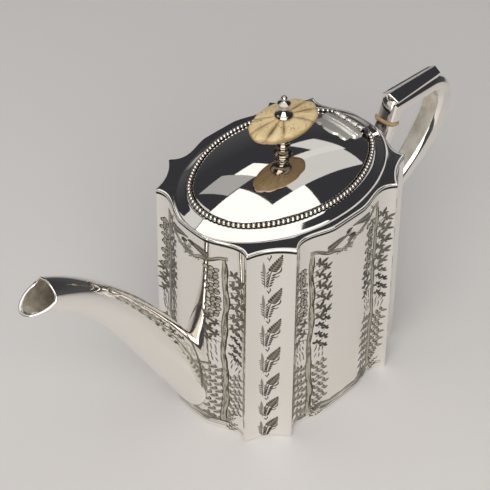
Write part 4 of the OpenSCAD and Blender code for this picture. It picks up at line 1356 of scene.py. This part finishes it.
        self.hatched_leaf((0.2, z(10.6)), math.atan2(9.6 * scale, 4.6), 11.2 * scale, 4.3,
                          0.02, 8, -0.05, 1.6)
        self.line((-0.1, z(0.2)), (-0.7, z(3.4)), 0.15, 0.6, 0.1)
        self.line((-1.7, z(1.6)), (-0.5, z(4.2)), 0.1, 0.55, 0.15)
        self.dart((-2.5, z(14.2)), math.radians(94), 10.4 * scale, 1.35, 0.5)
        self.line((-2.6, z(14.4)), (-2.9, z(5.4)), 0.02, 0.45, 0.15)
        for i in range(5):
            low, turn = z(11.2 + 1.75 * i), 4 * i
            self.dart((-2.2, low), math.radians(140 - turn), 3.1, 0.5, 0.25)
            self.dart((-2.0, low - 0.3), math.radians(48 + turn), 2.5, 0.6, 0.12)
        self.line((-2.2, z(20.0)), (-2.4, z(13.0)), 0.03, 0.5, 0.25)
        self.line((-0.9, z(20.4)), (0.4, z(11.0)), 0.06, 0.6, 0.1)
        for i in range(5):
            self.dart((0.5 - 0.28 * i, z(13.0 + 1.5 * i)), math.radians(30), 2.6 - 0.2 * i, 0.9,
                      0.03)
            self.dart((0.1 - 0.28 * i, z(13.4 + 1.5 * i)), math.radians(128), 1.5, 0.6, 0.1)
        self.line((1.4, z(12.0)), (4.6, z(7.6)), -0.26, 0.7, 0.04)
        self.line((1.3, z(13.8)), (3.9, z(12.6)), -0.2, 0.5, 0.12)

    def finish(self, name):
        obj = add_piece(name, np.concatenate(self.verts), self.faces, ["engraving"],
                        "pot", "silver", keep_normals=True)
        tag(obj, "tone", np.concatenate(self.tones))


SPRIG_TOPS = (117.6, 98.4, 79.8, 61.9, 44.8, 28.8, 14.6, 0.6)
GROUND_Z = 6.5
# distance of the two trunks from their cusps, and their height, for each wide panel
TRUNKS = {NEAR_SIDE: ((12.3, 109.5), (10.0, 113.0)), FAR_SIDE: ((10.0, 113.0), (12.3, 109.5)),
          SPOUT_END: ((8.8, 113.0), (12.2, 111.5)), BACK_END: ((10.5, 112.0), (10.5, 112.0))}
LEFT_SIDE = (("berries", 0.30), ("ivy", 0.16), ("willow", 0.14), ("curls", 0.40))
RIGHT_SIDE = (("ivy", 0.36), ("cluster", 0.20), ("willow", 0.06), ("curls", 0.26), ("fern", 0.12))


def build_engraving():
    for k in range(8):
        def surface(s, z, lift, k=k):
            return on_panel(k, s, np.clip(z, 0.6, WALL_H - 0.3), lift)

        e = Engraver(surface, 40 + k)
        if k not in CRESTS:
            for top, foot in zip(SPRIG_TOPS, SPRIG_TOPS[1:]):
                e.sprig(top, (top - foot) / 19.6)
            e.finish("engraving_flute_%d" % k)
            continue
        half = panel_half(k)
        for side, (gap, top) in zip((-1, 1), TRUNKS[k]):
            s0 = side * (half - gap)
            middle = e.trunk(s0, GROUND_Z, top, 2.9)
            # leaves grow to the right of each trunk, seen from outside, and berries to its left
            for way, kinds in ((1, RIGHT_SIDE), (-1, LEFT_SIDE)):
                reach, drop = (min(gap - 2.6, 8.0), 9) if way == side else (8.6, 8)
                e.foliage(middle, way, GROUND_Z, top - drop, reach, kinds)
            e.spray(s0, top - 0.5, -side, half * 0.62)
            e.ground(s0, 0, GROUND_Z)
        for z, tone in ((2.9, 0.45), (4.2, 0.6)):
            e.line((-half * 0.94, z), (half * 0.94, z), 0, 0.36, tone, 60, 0.8)
        e.finish("engraving_panel_%d" % k)

    # a leaf band on the spout, beside its seam
    (outer, first, _), _ = SPOUT_FACES
    cols = outer.shape[1]

    def on_spout(place, turn, lift):
        place = np.clip(place, 0, len(outer) - 2)
        j = (turn / (2 * math.pi) * cols) % cols
        i0, j0 = place.astype(int), j.astype(int)
        fi, fj = (place - i0)[:, None], (j - j0)[:, None]
        j1 = (j0 + 1) % cols
        p = ((outer[i0, j0] * (1 - fj) + outer[i0, j1] * fj) * (1 - fi)
             + (outer[i0 + 1, j0] * (1 - fj) + outer[i0 + 1, j1] * fj) * fi)
        return p + lift * unit(p - outer[i0].mean(1))

    for side in (-1, 1):
        # flat coordinates: mm along the spout, mm round it
        def surface(s, z, lift, side=side):
            turn = math.pi * side * 0.5 + side * z / 10.5
            seam = np.interp((turn / (2 * math.pi) * cols) % cols, np.arange(cols), first)
            return on_spout(seam + s / 0.43, turn, lift)

        e = Engraver(surface, 90 + side)
        for i in range(15):
            q = i / 14
            at = (6.5 + 9 * q ** 1.6, -3 + 16 * q)
            e.fern(at, math.radians(66), 3.2, 1.2, 0.4, 4)
            e.dart((at[0] - 0.7, at[1]), math.radians(100), 2.8, 0.6, 0.35)
        if side > 0:
            e.faces = [tuple(reversed(f)) for f in e.faces]
        e.finish("engraving_spout_%s" % ("far" if side > 0 else "near"))


for build in (build_body_wall, build_shoulder, build_bead_ring, build_spout, build_handle,
              build_sockets, build_insulators, build_tenon_pins, build_thumb_rest, build_barrel,
              build_body_leaf, build_lid_leaf, build_lid, build_knob, build_turned,
              build_engraving):
    build()

# CAD nodes that stay: their own shape, better materials
KEPT = {"inner_silver": ("base_plate", "lid_collar", "lid_bezel"), "worn_silver": ("hinge_pin",),
        "brass": ("knob_stud", "knob_washer", "knob_nut")}
for material, names in KEPT.items():
    for name in names:
        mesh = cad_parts[name].data
        mesh.materials.clear()
        mesh.materials.append(M[material])


# ---------------------------------------------------------------- stage
def build_floor():
    mesh = bpy.data.meshes.new("floor")
    size, drop = 6.0, -0.0002                          # m; it lies just under the pot's base
    corners = ((-size, -size), (size, -size), (size, size), (-size, size))
    mesh.from_pydata([(x, y, drop) for x, y in corners], [], [(0, 1, 2, 3)])
    material, tree, shader = new_material("floor_paper")
    cloud = noise(tree, 3, 2, 0.5)
    colour = mixed(tree, cloud, (0.72, 0.695, 0.68), (0.70, 0.68, 0.665))
    tree.links.new(colour, shader.inputs["Base Color"])
    shader.inputs["Roughness"].default_value = 0.6
    shader.inputs["Specular IOR Level"].default_value = 0.25
    mesh.materials.append(material)
    linked("floor", mesh)


WARM = (1.0, 0.985, 0.96)
OVERHEAD_Z = 1.2
# softboxes lying level above the pot: slopes seen from the lid, in x and in y, and radiance
OVERHEAD = {
    "main": ((-0.7, 0.27), (-0.7, 0.62), 1.12),
    "near": ((0.27, 0.56), (-0.7, 0.10), 1.12),
    "back": ((0.43, 0.62), (0.50, 0.98), 1.05),
    # the flat corners of the shoulder reflect the dark gap between the next two boxes
    "back_side": ((0.62, 1.45), (0.50, 0.66), 0.66),
    "corner": ((1.06, 1.45), (0.66, 1.05), 0.62),
    "side": ((0.45, 1.40), (0.10, 0.50), 0.58),
    "far": ((0.17, 0.43), (0.64, 1.2), 0.36),
    "left": ((-1.1, 0.0), (0.64, 1.25), 0.62),
}


def softbox(name, place, aim, size, radiance):
    light = bpy.data.lights.new(name, "AREA")
    light.shape = "RECTANGLE"
    light.size, light.size_y = size
    light.energy = radiance * math.pi * size[0] * size[1]
    light.color = WARM
    obj = linked(name, light)
    obj.location = place
    obj.rotation_euler = (Vector(aim) - Vector(place)).to_track_quat("-Z", "Y").to_euler()


def build_lights():
    reach = OVERHEAD_Z - LID_TOP_Z * MM
    for name, (x_range, y_range, radiance) in OVERHEAD.items():
        size = [(r[1] - r[0]) * reach for r in (x_range, y_range)]
        middle = [(r[1] + r[0]) / 2 * reach for r in (x_range, y_range)]
        softbox("softbox_" + name, (*middle, OVERHEAD_Z), (*middle, 0), size, radiance)
    softbox("softbox_front", (-1.25, -1.15, 1.3), (-0.1, -0.1, 0), (2.4, 1.7), 3.2)


def build_world():
    """A dim studio, a little darker overhead."""
    world = bpy.data.worlds.new("studio")
    world.use_nodes = True
    tree = world.node_tree
    back = tree.nodes["Background"]
    place = node(tree, "ShaderNodeTexCoord")
    parts = node(tree, "ShaderNodeSeparateXYZ")
    tree.links.new(place.outputs["Generated"], parts.inputs[0])
    height = spread(tree, parts.outputs["Z"], 0.0, 0.45, 0, 1)
    colour = mixed(tree, height, (0.075, 0.075, 0.08), (0.036, 0.036, 0.041))
    tree.links.new(colour, back.inputs["Color"])
    back.inputs["Strength"].default_value = 1.0
    bpy.context.scene.world = world


# the camera fitted to the photo: its place in m, the ways it looks from and to its right, its lens
CAMERA_PLACE = (-0.31731, -0.31483, 0.49302)
CAMERA_BACK = (-0.4986, -0.5333, 0.6834)
CAMERA_RIGHT = (0.7304, -0.6830, 0.0)
CAMERA_LENS, CAMERA_SENSOR = 95.15, 36
CAMERA_CLIP = (0.01, 30)


def build_camera():
    back = Vector(CAMERA_BACK).normalized()
    right = Vector(CAMERA_RIGHT).normalized()
    up = back.cross(right)
    camera = bpy.data.cameras.new("camera")
    camera.lens = CAMERA_LENS
    camera.sensor_width = CAMERA_SENSOR
    camera.clip_start, camera.clip_end = CAMERA_CLIP
    obj = linked("camera", camera)
    turn = Matrix((right, up, back)).transposed().to_4x4()
    obj.matrix_world = Matrix.Translation(CAMERA_PLACE) @ turn
    bpy.context.scene.camera = obj


build_floor()
build_lights()
build_world()
build_camera()
bpy.context.scene.view_settings.view_transform = "Standard"
